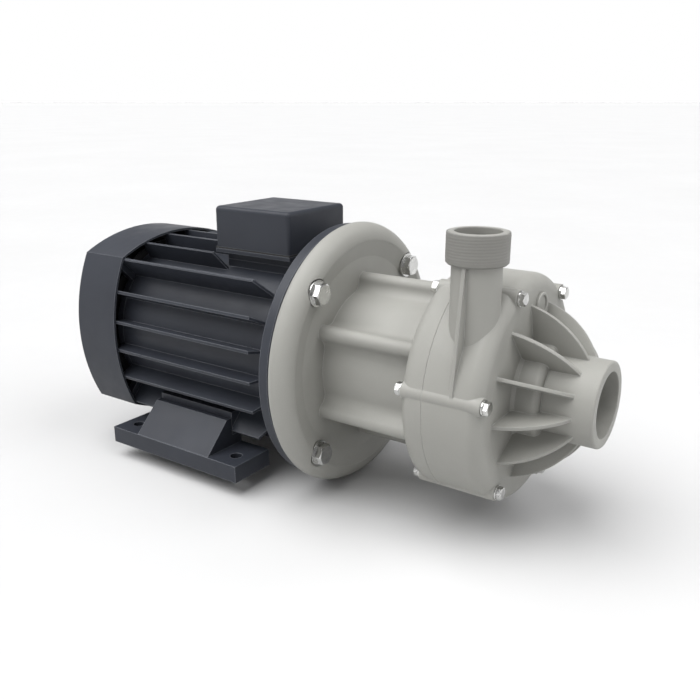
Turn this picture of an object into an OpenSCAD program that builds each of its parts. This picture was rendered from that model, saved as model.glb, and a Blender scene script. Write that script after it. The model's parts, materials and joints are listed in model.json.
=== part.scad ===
// Close-coupled magnetic drive pump: a finned foot and flange motor, a lantern and a moulded pump end.
// The shaft runs along +X towards the suction port and +Z is up.
// The origin is the centre of the four foot holes, on the underside of the feet.
// Stations along the shaft are measured from the joint between motor flange and lantern.

/* [Mounting] */
// Height of the shaft axis above the underside of the feet
shaft_height = 112; // [110:0.5:118]
// Spacing of the foot holes along the shaft
foot_hole_x = 140; // [134:1:146]
// Spacing of the foot holes across the shaft
foot_hole_y = 190; // [186:1:194]
// Diameter of a foot hole
foot_hole_d = 12; // [10:0.5:14]
// Distance from the flange joint to the nearest foot holes
hole_to_flange = 70; // [66:1:74]
// Thickness of a foot plate
foot_plate_t = 17; // [14:0.5:20]

/* [Motor] */
// Diameter of the motor flange
flange_d = 250; // [246:1:256]
// Thickness of the motor flange
flange_t = 12; // [10:0.5:14]
// Bolt circle diameter of the motor flange
flange_pcd = 215; // [212:1:217]
// Length from the flange joint to the back of the fan cowl
motor_length = 290; // [286:1:300]
// Length of the fan cowl
cowl_length = 60; // [56:1:64]
// Half width of the cowl across its bulged sides
cowl_half = 100.7; // [99:0.1:104]
// Radius of the round core of the finned frame
core_r = 84; // [83:0.5:86]
// Thickness of a fin
fin_t = 3; // [2.5:0.1:4]

/* [Terminal box] */
// Length of the terminal box along the shaft
box_length = 93.5; // [88:0.5:95]
// Width of the terminal box
box_width = 90; // [86:1:94]
// Height of the box top above the shaft axis
box_top = 138; // [134:1:146]

/* [Lantern] */
// Length of the lantern from the motor flange to the casing seam
lantern_length = 137.5; // [135:0.5:150]
// Radius of the lantern rim at the motor end
lantern_rim_r = 127.5; // [125:0.5:130]
// Radius of the barrel between its ribs
barrel_r = 66; // [65:0.5:69]
// Radius over the barrel ribs
barrel_rib_r = 82; // [80:0.5:83]

/* [Pump casing] */
// Outer radius of the pump casing
casing_r = 100; // [99:0.5:103]
// Depth of the front casing from its seam to the bolt faces
casing_depth = 50.5; // [49:0.5:56]
// Radius of the casing bolt circle
casing_bolt_r = 93.8; // [92.8:0.2:95]
// Outer radius of the suction neck
neck_r = 37; // [36:0.5:40]
// Length of the suction neck in front of the bolt faces
neck_length = 67.4; // [62:0.2:75]
// Radius of the suction bore, inside its thread
suction_bore_r = 28.3; // [27:0.1:29]
// Number of ribs on the front of the casing
front_rib_count = 12; // [10:1:14]

/* [Discharge] */
// Distance of the discharge axis in front of the casing seam
discharge_ahead = 25.5; // [24:0.5:28]
// Distance of the discharge axis from the shaft axis, towards the near side
discharge_side = 63.6; // [62:0.2:65]
// Height of the discharge face above the shaft axis
discharge_top = 142.8; // [140:0.2:155]
// Radius of the discharge collar over its thread
discharge_r = 23.9; // [23.5:0.1:25]
// Radius of the discharge bore
discharge_bore_r = 18.8; // [17:0.1:19]

/* [Hidden] */
$fn = 96;
cut = 1;

// Clearances
fit_gap = 0.05;
loose_gap = 0.3;

// Stations of the motor
flange_x = hole_to_flange + foot_hole_x / 2;
cowl_back = -motor_length;
cowl_front = cowl_back + cowl_length;
cowl_overlap = 6;
frame_back = cowl_front - cowl_overlap;
frame_front = -flange_t;
register_depth = 8;
register_wall = 8;
bore_r = 74;
register_r = 78;
tie_circle_r = 81;
tie_screw_r = 2;
tie_head_r = 3.5;
tie_head_t = 4;
tie_head_gap = 0.5;
tie_head_sink = 1;
tie_depth = 14;
tie_angles = [45, 135, 225, 315];

// Bulged square of the cowl and of the fin tips
bulge_r = 180;
cowl_wall = 2.5;
fin_half = cowl_half - cowl_wall - loose_gap;
cowl_edge_r = 4;

// Radial fins, with front ends that lean back towards their tips
fin_count = 20;
fin_root_front = -40;
fin_lean = 0.5;
clearing_half = 54;
clearing_low = 70;
slope_behind = 7;
slope_under = 13;

// Shaft of the motor
shaft_end_r = 14;
bearing_seat_r = 15;
shoulder_r = 18;
core_seat_r = 20;
fan_seat_r = 12.5;
bearing_outer_r = 31;
bearing_w = 16;
bearing_pitch_r = 23;
ball_r = 4.76;
ball_groove_r = 4.95;
ball_count = 9;
race_gap_half = 3.4;
cage_half_w = 6.3;
cage_half_t = 1.2;
bearing_cover = 2;
rear_bearing_sink = 3;
front_bearing_s = frame_front - bearing_cover - bearing_w;
rear_bearing_s = frame_back - rear_bearing_sink;
hub_wall_r = 40;
lip_r = 20;
seal_r = 21;
seal_s = -10;
seal_w = 7;

// Stator and rotor
core_length = 110;
core_setback = 45;
core_back = frame_back + core_setback;
core_front = core_back + core_length;
air_r = 46;
air_gap = 0.5;
slot_count = 24;
slot_in_r = 48;
slot_out_r = 62;
slot_w = 6.5;
slot_mouth_w = 2.5;
coil_gap = 0.25;
coil_head = 20;
coil_out_r = 68;
bar_count = 20;
bar_r = 3;
bar_circle_r = 39.5;
cage_ring = 10;
cage_in_r = 30;
cage_out_r = 44;

// Fan
fan_hub_r = 22;
fan_disc_r = 87;
fan_blade_r = 88;
fan_to_cowl = 15;
fan_back = cowl_back + fan_to_cowl;
fan_gap = 4;
fan_shoulder = 2;
fan_disc_t = 3;
fan_blade_t = 2.5;
fan_blade_root_r = 16;
fan_blade_set = 2;
fan_blade_count = 8;

// Rear end shield
rear_plate_t = 8;
rear_plate_s = frame_back - rear_plate_t;
fan_front = rear_plate_s - tie_head_t - fan_gap;
post_circle_r = 100;
post_r = 6;
post_lug_w = 16;
cowl_screw_r = 2.45;
cowl_screw_head_r = 4.5;
cowl_screw_head_t = 2.5;
cowl_screw_grip = 26;
cowl_screw_spare = 2;

// Grille slots in the back of the cowl
grille_r = [26, 40, 54, 68];
grille_slot = 7;
grille_rib_w = 7;
grille_rib_count = 4;

// Terminal box
box_front = -38;
box_back = box_front - box_length;
box_pad_h = 0.5;
box_pad_low = 59;
box_seat = core_r + box_pad_h;
hood_h = 40;
box_seam = box_top - hood_h;
box_gasket_t = 1.5;
box_wall = 3.5;
box_floor_t = 4;
box_lip_t = 4;
box_edge_r = 4;
pedestal_end_set = 6;
pedestal_side_set = 11;
upstand_gap = 0.6;
upstand_t = 3;
upstand_below = 10;
upstand_top = box_top - upstand_below;
gasket_gap = 0.4;
gland_above = 17;
gland_z = box_seam + gland_above;
gland_r = 10;
gland_bore_r = 6.5;
gland_hex_r = 13.8;
gland_hex_t = 7;
gland_nose_r = 12.2;
gland_nose_t = 12;
gland_inside = 8;
gland_notch_gap = 1;
board_x = 62;
board_y = 42;
board_t = 8;
stud_r = 2.5;
stud_h = 16;
stud_nut_r = 4.6;
stud_nut_t = 4;
stud_pitch_x = 18;
stud_pitch_y = 20;

// Feet
foot_length = 173;
foot_centre = -hole_to_flange - foot_hole_x / 2;
foot_width = 50;
foot_edge = 20;
foot_outer = foot_hole_y / 2 + foot_edge;
foot_top = foot_plate_t - shaft_height;
gusset_length = 100;
gusset_top = -66;
gusset_top_y = 85;
gusset_set = 1;
pad_side = 78;
pad_bottom = -core_r;
pad_inner = 50;
pad_top = -60;
foot_screw_r = 3;
foot_screw_head_r = 5;
foot_screw_head_t = 6;
foot_screw_y = 71.5;
foot_screw_x = 32;
foot_screw_depth = 14;
foot_screw_spare = 1;
foot_recess = 8;
foot_recess_gap = 0.5;

// Flange bolts
flange_bolt_r = 6;
flange_hole_r = 7.25;
flange_head_r = 10.4;
flange_head_t = 7.5;
flange_washer_r = 12;
flange_washer_t = 2.5;
flange_spot_r = 13;
flange_angles = [45, 135, 225, 315];
flange_edge = 1.5;
spigot_r = 90;
spigot_t = 4;
spigot_end_gap = 0.5;
tie_seat_s = spigot_t - tie_head_t - tie_head_sink;
flange_washer_gap = 0.4;
flange_tail_gap = 0.5;

// Lantern
lantern_face = 19;
seat_sink = 3;
flange_seat = lantern_face - seat_sink;
lantern_round = 15;
lantern_back_round = 4;
dish_depth = 4;
dish_r = 96;
lantern_bore_r = 60;
ring_depth = 22.5;
ring_back = lantern_length - ring_depth;
ring_round = 12;
barrel_rib_w = 14;
barrel_rib_count = 6;
barrel_fillet = 11;
barrel_rib_start = 30;
barrel_root = 3;
barrel_sink = 5;

// Casing bolts
casing_bolt_rad = 3;
casing_hole_r = 3.3;
casing_boss_r = 7.5;
casing_head_r = 5.8;
casing_head_t = 4.2;
casing_nut_t = 5.2;
casing_washer_r = 6.3;
casing_washer_t = 1.6;
casing_tail = 0.8;
casing_washer_gap = 0.2;
casing_bolt_start = 8;
casing_bolt_count = 6;
spot_r = 7.5;

// Front casing
seam = lantern_length;
casing_front = seam + casing_depth;
suction_face = casing_front + neck_length;
nut_spot_depth = 2.5;
nut_face = ring_back + nut_spot_depth;
front_round = 12;
face_r = 78;
face_rise = 2.5;
face_top = casing_front + face_rise;
step_r = 45;
step_length = 24.5;
step_front = casing_front + step_length;
step_flare = 2.5;
step_round = 6;
seam_edge = 0.3;
neck_round = 2;
rib_start = 23;
rib_t = 3;
rib_out_r = 77;
rib_length = 50.5;
rib_tip_s = casing_front + rib_length;
rib_root_sink = 4;
rib_foot_sink = 2;
rib_bow = 7;
pad_r = 8.5;
pad_circle_r = 73;
pad_angle = 98;
pad_depth = 3;
collar_stand = 3.9;
tube_r = discharge_r - collar_stand;
collar_h = 24.8;
collar_round = 4;
collar_edge = 1;
web_t = 3;
web_stand = 2.5;
web_low = 16;
web_foot_set = 0.5;
tube_root = 30;
discharge_floor = 48;
channel_step = 2.8;
channel_r = discharge_bore_r - channel_step;

// Water space
mouth_r = 74;
mouth_depth = 5.5;
volute_r = 84;
volute_depth = 32.5;
throat_r = 25;
eye_pocket_r = 34;
eye_pocket_depth = 54.5;
suction_depth = 33;
seal_groove_r = 79;
seal_cord_r = 1.5;
seal_groove_half = 2;

// Containment shell
shell_in_r = 40.5;
shell_wall = 3;
shell_flange_r = 83.5;
shell_flange_t = 7.5;
shell_depth = 63.5;
shell_end = seam - shell_depth;
shell_end_t = 4;
shell_boss_r = 15;
shell_boss_t = 2;
socket_depth = 3.5;

// Fixed shaft of the pump
pin_r = 9;
pin_back = shell_end + shell_end_t + shell_boss_t - socket_depth;
pin_reach = 52.5;
pin_front = seam + pin_reach;
thrust_r = 16;
rear_thrust_s = shell_end + shell_end_t + shell_boss_t;
thrust_t = 3.7;
rotor_back = rear_thrust_s + thrust_t + loose_gap;
rotor_reach = 22.5;
rotor_front = seam + rotor_reach;
front_thrust_s = rotor_front + loose_gap;
support_hub_r = 14;
support_hub_s = front_thrust_s + thrust_t;
support_arm_t = 12;
support_arm_s = seam + eye_pocket_depth - support_arm_t;
support_arm_w = 6;
support_arm_count = 3;
support_arm_start = 90;
support_rim_in_r = 28;
wear_ring_in_r = 31.3;
wear_ring_set = 34;
wear_ring_s = seam + wear_ring_set;
wear_ring_w = 7;

// Impeller and inner magnets
bush_r = 15;
bush_length = 20;
sleeve_r = 20;
impeller_r = 66;
back_shroud_gap = 3.5;
back_shroud_s = seam + back_shroud_gap;
back_shroud_t = 4;
vane_w = 12;
vane_t = 4;
vane_count = 6;
vane_centre = 30;
vane_arc_r = 38;
vane_in_r = 27;
vane_tip_set = 0.5;
front_shroud_s = back_shroud_s + back_shroud_t + vane_w;
front_shroud_t = 3;
eye_in_r = 26;
eye_out_r = 31;
eye_length = 19;
magnet_count = 8;
magnet_half_angle = 19;
carrier_r = 39.5;
carrier_set = 2;
carrier_s = rotor_back + carrier_set;
carrier_length = 40;
inner_magnet_in_r = 31;
inner_magnet_out_r = 37.5;
inner_magnet_margin = 4;

// Drive magnets
hub_back = 6;
hub_r = 26;
hub_over = 0.5;
hub_washer_r = 20;
hub_washer_t = 3;
hub_screw_r = 5;
hub_screw_head_r = 9.2;
hub_screw_head_t = 6;
hub_screw_depth = 25;
hub_screw_spare = 3;
hub_washer_gap = 0.3;
screw_to_shell = 4.5;
shaft_end = shell_end - screw_to_shell - hub_screw_head_t - hub_washer_t - hub_over;
hub_front = shaft_end + hub_over;
cup_sink = 12;
cup_back = shaft_end - cup_sink;
cup_floor_t = 10;
cup_to_seam = 12.5;
cup_front = seam - cup_to_seam;
cup_r = 56;
drive_magnet_out_r = 50;
drive_magnet_in_r = 45;
drive_magnet_s = carrier_s;
drive_magnet_short = 2;
drive_magnet_length = carrier_length - drive_magnet_short;
key_w = 8;
key_h = 7;
key_s = 10;
key_to_end = 10;
key_length = shaft_end - key_s - key_to_end;

// Colours
paint = [0.25, 0.26, 0.29];
plastic = [0.66, 0.65, 0.62];
steel = [0.78, 0.79, 0.80];
iron = [0.45, 0.46, 0.48];
copper = [0.72, 0.43, 0.25];
black = [0.10, 0.10, 0.11];
carbon = [0.16, 0.16, 0.17];
white = [0.90, 0.89, 0.85];
alloy = [0.70, 0.71, 0.72];

// Frame of the shaft: local z runs along the shaft, local x across and local y upwards
module on_shaft(s = 0) {
    translate([flange_x + s, 0, shaft_height]) rotate([90, 0, 90]) children();
}

// Angle on a circle, from the near side towards the top
module on_circle(radius, angle) {
    rotate([0, 0, 180 - angle]) translate([radius, 0, 0]) children();
}

// Outline in the cross section, carried along the shaft
module along_shaft(from, to) {
    on_shaft(from) linear_extrude(height = to - from) children();
}

// Outline in radius and station, turned about the shaft
module turned() {
    on_shaft() rotate_extrude() children();
}

module disc(from, to, radius) {
    on_shaft(from) cylinder(h = to - from, r = radius);
}

module ring(from, to, outer, inner) {
    difference() {
        disc(from, to, outer);
        disc(from - cut, to + cut, inner);
    }
}

// Rod parallel to the shaft at a place on a circle
module rod(from, to, radius, circle_r, angle, sides = 96) {
    on_shaft(from) on_circle(circle_r, angle) cylinder(h = to - from, r = radius, $fn = sides);
}

// Block given by stations and by distances from the shaft axis
module block(from, to, left, right, low, high) {
    translate([flange_x + from, left, shaft_height + low]) cube([to - from, right - left, high - low]);
}

module bulged_square(half) {
    lean = bulge_r - half;
    intersection() {
        translate([-lean, 0]) circle(r = bulge_r);
        translate([lean, 0]) circle(r = bulge_r);
        translate([0, -lean]) circle(r = bulge_r);
        translate([0, lean]) circle(r = bulge_r);
    }
}

module ring_sector(inner, outer, half_angle) {
    reach = 2 * outer;
    intersection() {
        difference() {
            circle(r = outer);
            circle(r = inner);
        }
        polygon([
            [0, 0],
            [reach * cos(half_angle), -reach * sin(half_angle)],
            [reach * cos(half_angle), reach * sin(half_angle)]
        ]);
    }
}

// Plates through the shaft axis, each making two opposite fins
module frame_plates() {
    for (k = [0 : fin_count / 2 - 1]) {
        rotate([0, 0, (k + 0.5) * 360 / fin_count]) square([4 * cowl_half, fin_t], center = true);
    }
}

// Space in front of the leaning fin ends
module front_clearing() {
    reach = 2 * cowl_half;
    end = frame_front + cut;
    turned() polygon([
        [bore_r, fin_root_front + (core_r - bore_r) * fin_lean],
        [reach, fin_root_front - (reach - core_r) * fin_lean], [reach, end], [bore_r, end]
    ]);
}

// Space kept free of top fins round the terminal box, with the sloping fin ends
module box_clearing() {
    slope_start = box_back - slope_behind;
    slope_end = box_back + slope_under;
    reach = 2 * cowl_half;
    end = frame_front + cut;
    translate([flange_x, clearing_half, shaft_height]) rotate([90, 0, 0])
        linear_extrude(height = 2 * clearing_half) polygon([
            [slope_start, fin_half], [slope_end, clearing_low], [end, clearing_low],
            [end, reach], [slope_start, reach]
        ]);
}

module motor_frame() {
    pad_back = foot_centre - gusset_length / 2;
    pad_front = foot_centre + gusset_length / 2;
    saddle_half = box_width / 2 - pedestal_side_set;
    color(paint) difference() {
        union() {
            disc(frame_back, frame_front, core_r);
            difference() {
                along_shaft(frame_back, frame_front) intersection() {
                    frame_plates();
                    bulged_square(fin_half);
                }
                front_clearing();
                box_clearing();
                for (side = [-1, 1]) {
                    mirror([0, (1 - side) / 2, 0])
                        block(pad_back - cut, pad_front + cut, pad_side, cowl_half, -cowl_half, pad_top);
                }
            }
            block(box_back + pedestal_end_set, box_front - pedestal_end_set, -saddle_half, saddle_half,
                  box_pad_low, box_seat);
            for (side = [-1, 1]) {
                mirror([0, (1 - side) / 2, 0])
                    block(pad_back, pad_front, pad_inner, pad_side, pad_bottom, pad_top);
            }
        }
        disc(frame_back - cut, frame_front + cut, bore_r);
        disc(frame_back - cut, frame_back + register_depth + loose_gap, register_r);
        disc(frame_front - register_depth - loose_gap, frame_front + cut, register_r);
        for (angle = tie_angles) {
            rod(frame_back - cut, frame_back + tie_depth + cut, tie_screw_r + fit_gap, tie_circle_r, angle);
            rod(frame_front - tie_depth - cut, frame_front + cut, tie_screw_r + fit_gap, tie_circle_r, angle);
        }
        foot_screw_places() cylinder(h = pad_bottom + shaft_height + foot_screw_depth + cut,
                                     r = foot_screw_r + fit_gap);
    }
}

module drive_end_shield() {
    flange_r = flange_d / 2;
    bearing_r = bearing_outer_r + fit_gap;
    lip_s = front_bearing_s + bearing_w;
    hub_back_s = front_bearing_s - bearing_cover;
    collar_in_r = register_r - register_wall;
    collar_s = frame_front - register_depth;
    color(paint) difference() {
        turned() polygon([
            [lip_r, lip_s], [bearing_r, lip_s], [bearing_r, hub_back_s], [hub_wall_r, hub_back_s],
            [hub_wall_r, frame_front], [collar_in_r, frame_front], [collar_in_r, collar_s],
            [register_r - fit_gap, collar_s], [register_r - fit_gap, frame_front],
            [flange_r - flange_edge, frame_front], [flange_r, frame_front + flange_edge],
            [flange_r, -flange_edge], [flange_r - flange_edge, 0], [spigot_r, 0], [spigot_r, spigot_t],
            [seal_r, spigot_t], [seal_r, seal_s], [lip_r, seal_s]
        ]);
        for (angle = flange_angles) {
            rod(frame_front - cut, cut, flange_bolt_r + fit_gap, flange_pcd / 2, angle);
        }
        for (angle = tie_angles) {
            rod(frame_front - cut, spigot_t + cut, tie_screw_r + loose_gap, tie_circle_r, angle);
            rod(tie_seat_s, spigot_t + cut, tie_head_r + tie_head_gap, tie_circle_r, angle);
        }
    }
}

module rear_end_shield() {
    bearing_r = bearing_outer_r + fit_gap;
    lip_s = rear_bearing_s;
    hub_front_s = rear_bearing_s + bearing_w + bearing_cover;
    collar_in_r = register_r - register_wall;
    collar_s = frame_back + register_depth;
    post_end = cowl_back + cowl_wall;
    color(paint) difference() {
        union() {
            turned() polygon([
                [lip_r, rear_plate_s], [core_r, rear_plate_s], [core_r, frame_back],
                [register_r - fit_gap, frame_back], [register_r - fit_gap, collar_s],
                [collar_in_r, collar_s], [collar_in_r, frame_back], [hub_wall_r, frame_back],
                [hub_wall_r, hub_front_s], [bearing_r, hub_front_s], [bearing_r, lip_s], [lip_r, lip_s]
            ]);
            for (angle = tie_angles) {
                along_shaft(rear_plate_s, frame_back) rotate([0, 0, 180 - angle]) {
                    translate([register_r, -post_lug_w / 2])
                        square([post_circle_r - register_r, post_lug_w]);
                    translate([post_circle_r, 0]) circle(d = post_lug_w);
                }
                rod(post_end, rear_plate_s + cut, post_r, post_circle_r, angle);
            }
        }
        for (angle = tie_angles) {
            rod(rear_plate_s - cut, frame_back + cut, tie_screw_r + loose_gap, tie_circle_r, angle);
            rod(post_end - cut, post_end + cowl_screw_grip, cowl_screw_r + fit_gap, post_circle_r, angle);
        }
    }
}

// Screws that hold both end shields to the frame
module shield_screws() {
    color(steel) for (angle = tie_angles) {
        rod(tie_seat_s, tie_seat_s + tie_head_t, tie_head_r, tie_circle_r, angle);
        rod(frame_front - tie_depth, tie_seat_s + cut, tie_screw_r, tie_circle_r, angle);
        rod(rear_plate_s - tie_head_t, rear_plate_s, tie_head_r, tie_circle_r, angle);
        rod(rear_plate_s - cut, frame_back + tie_depth, tie_screw_r, tie_circle_r, angle);
    }
}

module stator_core() {
    color(iron) along_shaft(core_back, core_front) difference() {
        circle(r = bore_r - fit_gap);
        circle(r = air_r);
        for (k = [0 : slot_count - 1]) {
            rotate([0, 0, k * 360 / slot_count]) {
                translate([slot_in_r, -slot_w / 2]) square([slot_out_r - slot_in_r, slot_w]);
                translate([air_r - cut, -slot_mouth_w / 2])
                    square([slot_in_r - air_r + 2 * cut, slot_mouth_w]);
            }
        }
    }
}

module stator_windings() {
    head_in_r = slot_in_r + coil_gap;
    color(copper) {
        along_shaft(core_back - coil_gap - cut, core_front + coil_gap + cut)
            for (k = [0 : slot_count - 1]) {
                rotate([0, 0, k * 360 / slot_count])
                    translate([head_in_r, -slot_w / 2 + coil_gap])
                        square([slot_out_r - slot_in_r - 2 * coil_gap, slot_w - 2 * coil_gap]);
            }
        ring(core_back - coil_gap - coil_head, core_back - coil_gap, coil_out_r, head_in_r);
        ring(core_front + coil_gap, core_front + coil_gap + coil_head, coil_out_r, head_in_r);
    }
}

module cowl_form(half, from, to, edge) {
    lean = bulge_r - half;
    intersection() {
        beside_shaft(lean, 0) cowl_drum(from, to, edge);
        beside_shaft(-lean, 0) cowl_drum(from, to, edge);
        beside_shaft(0, lean) cowl_drum(from, to, edge);
        beside_shaft(0, -lean) cowl_drum(from, to, edge);
    }
}

module beside_shaft(across, up) {
    on_shaft() translate([across, up, 0]) children();
}

// Drum with a rounded back edge
module cowl_drum(from, to, edge) {
    rotate_extrude() {
        polygon([
            [0, from], [bulge_r - edge, from], [bulge_r - edge, from + edge], [bulge_r, from + edge],
            [bulge_r, to], [0, to]
        ]);
        intersection() {
            translate([bulge_r - edge, from + edge]) circle(r = edge);
            translate([bulge_r - edge - cut, from]) square([edge + cut, edge + cut]);
        }
    }
}

module fan_cowl() {
    color(paint) difference() {
        cowl_form(cowl_half, cowl_back, cowl_front, cowl_edge_r);
        cowl_form(cowl_half - cowl_wall, cowl_back + cowl_wall, cowl_front + cut, cowl_edge_r - cowl_wall);
        along_shaft(cowl_back - cut, cowl_back + cowl_wall + cut) difference() {
            for (radius = grille_r) {
                difference() {
                    circle(r = radius + grille_slot / 2);
                    circle(r = radius - grille_slot / 2);
                }
            }
            for (k = [0 : grille_rib_count - 1]) {
                rotate([0, 0, k * 180 / grille_rib_count])
                    square([2 * cowl_half, grille_rib_w], center = true);
            }
        }
        for (angle = tie_angles) {
            rod(cowl_back - cut, cowl_back + cowl_wall + cut, cowl_screw_r + loose_gap, post_circle_r, angle);
        }
    }
}

module cowl_screws() {
    tip = cowl_back + cowl_wall + cowl_screw_grip - cowl_screw_spare;
    color(steel) for (angle = tie_angles) {
        rod(cowl_back - cowl_screw_head_t, cowl_back, cowl_screw_head_r, post_circle_r, angle);
        rod(cowl_back - cut, tip, cowl_screw_r, post_circle_r, angle);
    }
}

// Pedestal of the terminal box, with the upstand that the hood fits over
module terminal_box_base() {
    side = box_width / 2;
    inset = box_wall + upstand_gap;
    deep = inset + upstand_t;
    lip_top = box_seam - box_gasket_t;
    lip_z = lip_top - box_lip_t;
    foot_back = box_back + pedestal_end_set;
    foot_front = box_front - pedestal_end_set;
    foot_side = side - pedestal_side_set;
    color(paint) difference() {
        union() {
            block(foot_back, foot_front, -foot_side, foot_side, box_seat, lip_z);
            block(box_back, box_front, -side, side, lip_z, lip_top);
            block(box_back + inset, box_front - inset, -side + inset, side - inset,
                  lip_top - cut, upstand_top);
        }
        block(foot_back + box_wall, foot_front - box_wall, -foot_side + box_wall, foot_side - box_wall,
              box_seat + box_floor_t, box_top);
        block(box_back + deep, box_front - deep, -side + deep, side - deep, lip_top, box_top);
        gland_place() cylinder(h = 4 * upstand_t, r = gland_r + fit_gap, center = true);
    }
}

module terminal_box_gasket() {
    side = box_width / 2;
    inset = box_wall + gasket_gap;
    color(black) difference() {
        block(box_back, box_front, -side, side, box_seam - box_gasket_t, box_seam);
        block(box_back + inset, box_front - inset, -side + inset, side - inset,
              box_seam - box_gasket_t - cut, box_seam + cut);
    }
}

// Block with rounded upright and top edges
module hood_form(from, to, side, low, high, edge) {
    block(from + edge, to - edge, -side, side, low, high - edge);
    block(from, to, -side + edge, side - edge, low, high - edge);
    block(from + edge, to - edge, -side + edge, side - edge, low, high);
    for (s = [from + edge, to - edge]) {
        translate([flange_x + s, side - edge, shaft_height + high - edge]) rotate([90, 0, 0])
            cylinder(h = 2 * (side - edge), r = edge);
    }
    for (y = [-side + edge, side - edge]) {
        translate([flange_x + from + edge, y, shaft_height + high - edge]) rotate([0, 90, 0])
            cylinder(h = to - from - 2 * edge, r = edge);
        for (s = [from + edge, to - edge]) {
            translate([flange_x + s, y, shaft_height + low]) cylinder(h = high - edge - low, r = edge);
            translate([flange_x + s, y, shaft_height + high - edge]) sphere(r = edge);
        }
    }
}

module terminal_box_lid() {
    side = box_width / 2;
    notch_r = gland_hex_r + gland_notch_gap;
    color(paint) difference() {
        hood_form(box_back, box_front, side, box_seam, box_top, box_edge_r);
        block(box_back + box_wall, box_front - box_wall, -side + box_wall, side - box_wall,
              box_seam - cut, box_top - box_wall);
        gland_place() cylinder(h = 4 * box_wall, r = notch_r, center = true);
        block((box_back + box_front) / 2 - notch_r, (box_back + box_front) / 2 + notch_r,
              side - 2 * box_wall, side + cut, box_seam - cut, gland_z);
    }
}

module terminal_board() {
    middle = (box_back + box_front) / 2;
    floor_z = box_seat + box_floor_t;
    color(black) block(middle - board_x / 2, middle + board_x / 2, -board_y / 2, board_y / 2,
                       floor_z, floor_z + board_t);
}

module terminal_studs() {
    middle = (box_back + box_front) / 2;
    board_top_z = box_seat + box_floor_t + board_t;
    color(steel) for (column = [-1, 0, 1], row = [-1, 1]) {
        translate([flange_x + middle + column * stud_pitch_x, row * stud_pitch_y / 2,
                   shaft_height + board_top_z]) {
            cylinder(h = stud_h, r = stud_r);
            cylinder(h = stud_nut_t, r = stud_nut_r, $fn = 6);
        }
    }
}

// Place on the far wall of the upstand where the cable gland is screwed in
module gland_place() {
    wall_y = box_width / 2 - box_wall - upstand_gap;
    translate([flange_x + (box_back + box_front) / 2, wall_y, shaft_height + gland_z])
        rotate([-90, 0, 0]) children();
}

module cable_gland() {
    inside = upstand_t + gland_inside;
    color(black) gland_place() difference() {
        union() {
            translate([0, 0, -inside]) cylinder(h = inside + cut, r = gland_r);
            cylinder(h = gland_hex_t, r = gland_hex_r, $fn = 6);
            translate([0, 0, gland_hex_t - cut]) cylinder(h = gland_nose_t + cut, r = gland_nose_r);
        }
        translate([0, 0, -inside - cut])
            cylinder(h = inside + gland_hex_t + gland_nose_t + 2 * cut, r = gland_bore_r);
    }
}

module foot_screw_places() {
    for (side = [-1, 1], along = [-1, 1]) {
        translate([flange_x + foot_centre + along * foot_screw_x, side * foot_screw_y, 0]) children();
    }
}

module foot_form() {
    gusset_back = foot_centre - gusset_length / 2;
    hole_y = foot_hole_y / 2;
    inner_y = foot_outer - foot_width;
    difference() {
        union() {
            block(foot_centre - foot_length / 2, foot_centre + foot_length / 2, -foot_outer, -inner_y,
                  -shaft_height, foot_top);
            along_shaft(gusset_back, gusset_back + gusset_length) polygon([
                [-foot_outer + gusset_set, foot_top - cut], [-foot_outer + gusset_set, foot_top],
                [-gusset_top_y, gusset_top], [-pad_side, gusset_top], [-pad_side, pad_bottom],
                [-inner_y, pad_bottom], [-inner_y, foot_top - cut]
            ]);
        }
        for (along = [-1, 1]) {
            translate([flange_x + foot_centre + along * foot_hole_x / 2, -hole_y, -cut])
                cylinder(h = foot_plate_t + 2 * cut, d = foot_hole_d);
        }
        foot_screw_places() {
            translate([0, 0, -cut]) cylinder(h = shaft_height, r = foot_screw_r + loose_gap);
            translate([0, 0, -cut]) cylinder(h = foot_recess + cut, r = foot_screw_head_r + foot_recess_gap);
        }
    }
}

module near_foot() {
    color(paint) foot_form();
}

module far_foot() {
    color(paint) mirror([0, 1, 0]) foot_form();
}

module foot_screws() {
    tip = shaft_height + pad_bottom + foot_screw_depth - foot_screw_spare;
    color(steel) foot_screw_places() {
        translate([0, 0, foot_recess - foot_screw_head_t])
            cylinder(h = foot_screw_head_t, r = foot_screw_head_r);
        translate([0, 0, foot_recess - cut]) cylinder(h = tip - foot_recess + cut, r = foot_screw_r);
    }
}

module bearing_outer_ring(from) {
    middle = from + bearing_w / 2;
    race_r = bearing_pitch_r + race_gap_half;
    turned() difference() {
        translate([race_r, from]) square([bearing_outer_r - race_r, bearing_w]);
        translate([bearing_pitch_r, middle]) circle(r = ball_groove_r);
    }
}

module bearing_inner_ring(from) {
    middle = from + bearing_w / 2;
    inner_r = bearing_seat_r + fit_gap;
    race_r = bearing_pitch_r - race_gap_half;
    turned() difference() {
        translate([inner_r, from]) square([race_r - inner_r, bearing_w]);
        translate([bearing_pitch_r, middle]) circle(r = ball_groove_r);
    }
}

module bearing_balls(from) {
    on_shaft(from + bearing_w / 2) for (k = [0 : ball_count - 1]) {
        on_circle(bearing_pitch_r, k * 360 / ball_count) sphere(r = ball_r);
    }
}

module bearing_cage(from) {
    middle = from + bearing_w / 2;
    difference() {
        ring(middle - cage_half_w, middle + cage_half_w, bearing_pitch_r + cage_half_t,
             bearing_pitch_r - cage_half_t);
        on_shaft(middle) for (k = [0 : ball_count - 1]) {
            on_circle(bearing_pitch_r, k * 360 / ball_count) rotate([0, 90, 0])
                cylinder(h = 4 * cage_half_t, r = ball_groove_r, center = true);
        }
    }
}

module front_bearing_outer_ring() {
    color(steel) bearing_outer_ring(front_bearing_s);
}

module rear_bearing_outer_ring() {
    color(steel) bearing_outer_ring(rear_bearing_s);
}

module front_bearing_inner_ring() {
    color(steel) bearing_inner_ring(front_bearing_s);
}

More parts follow.
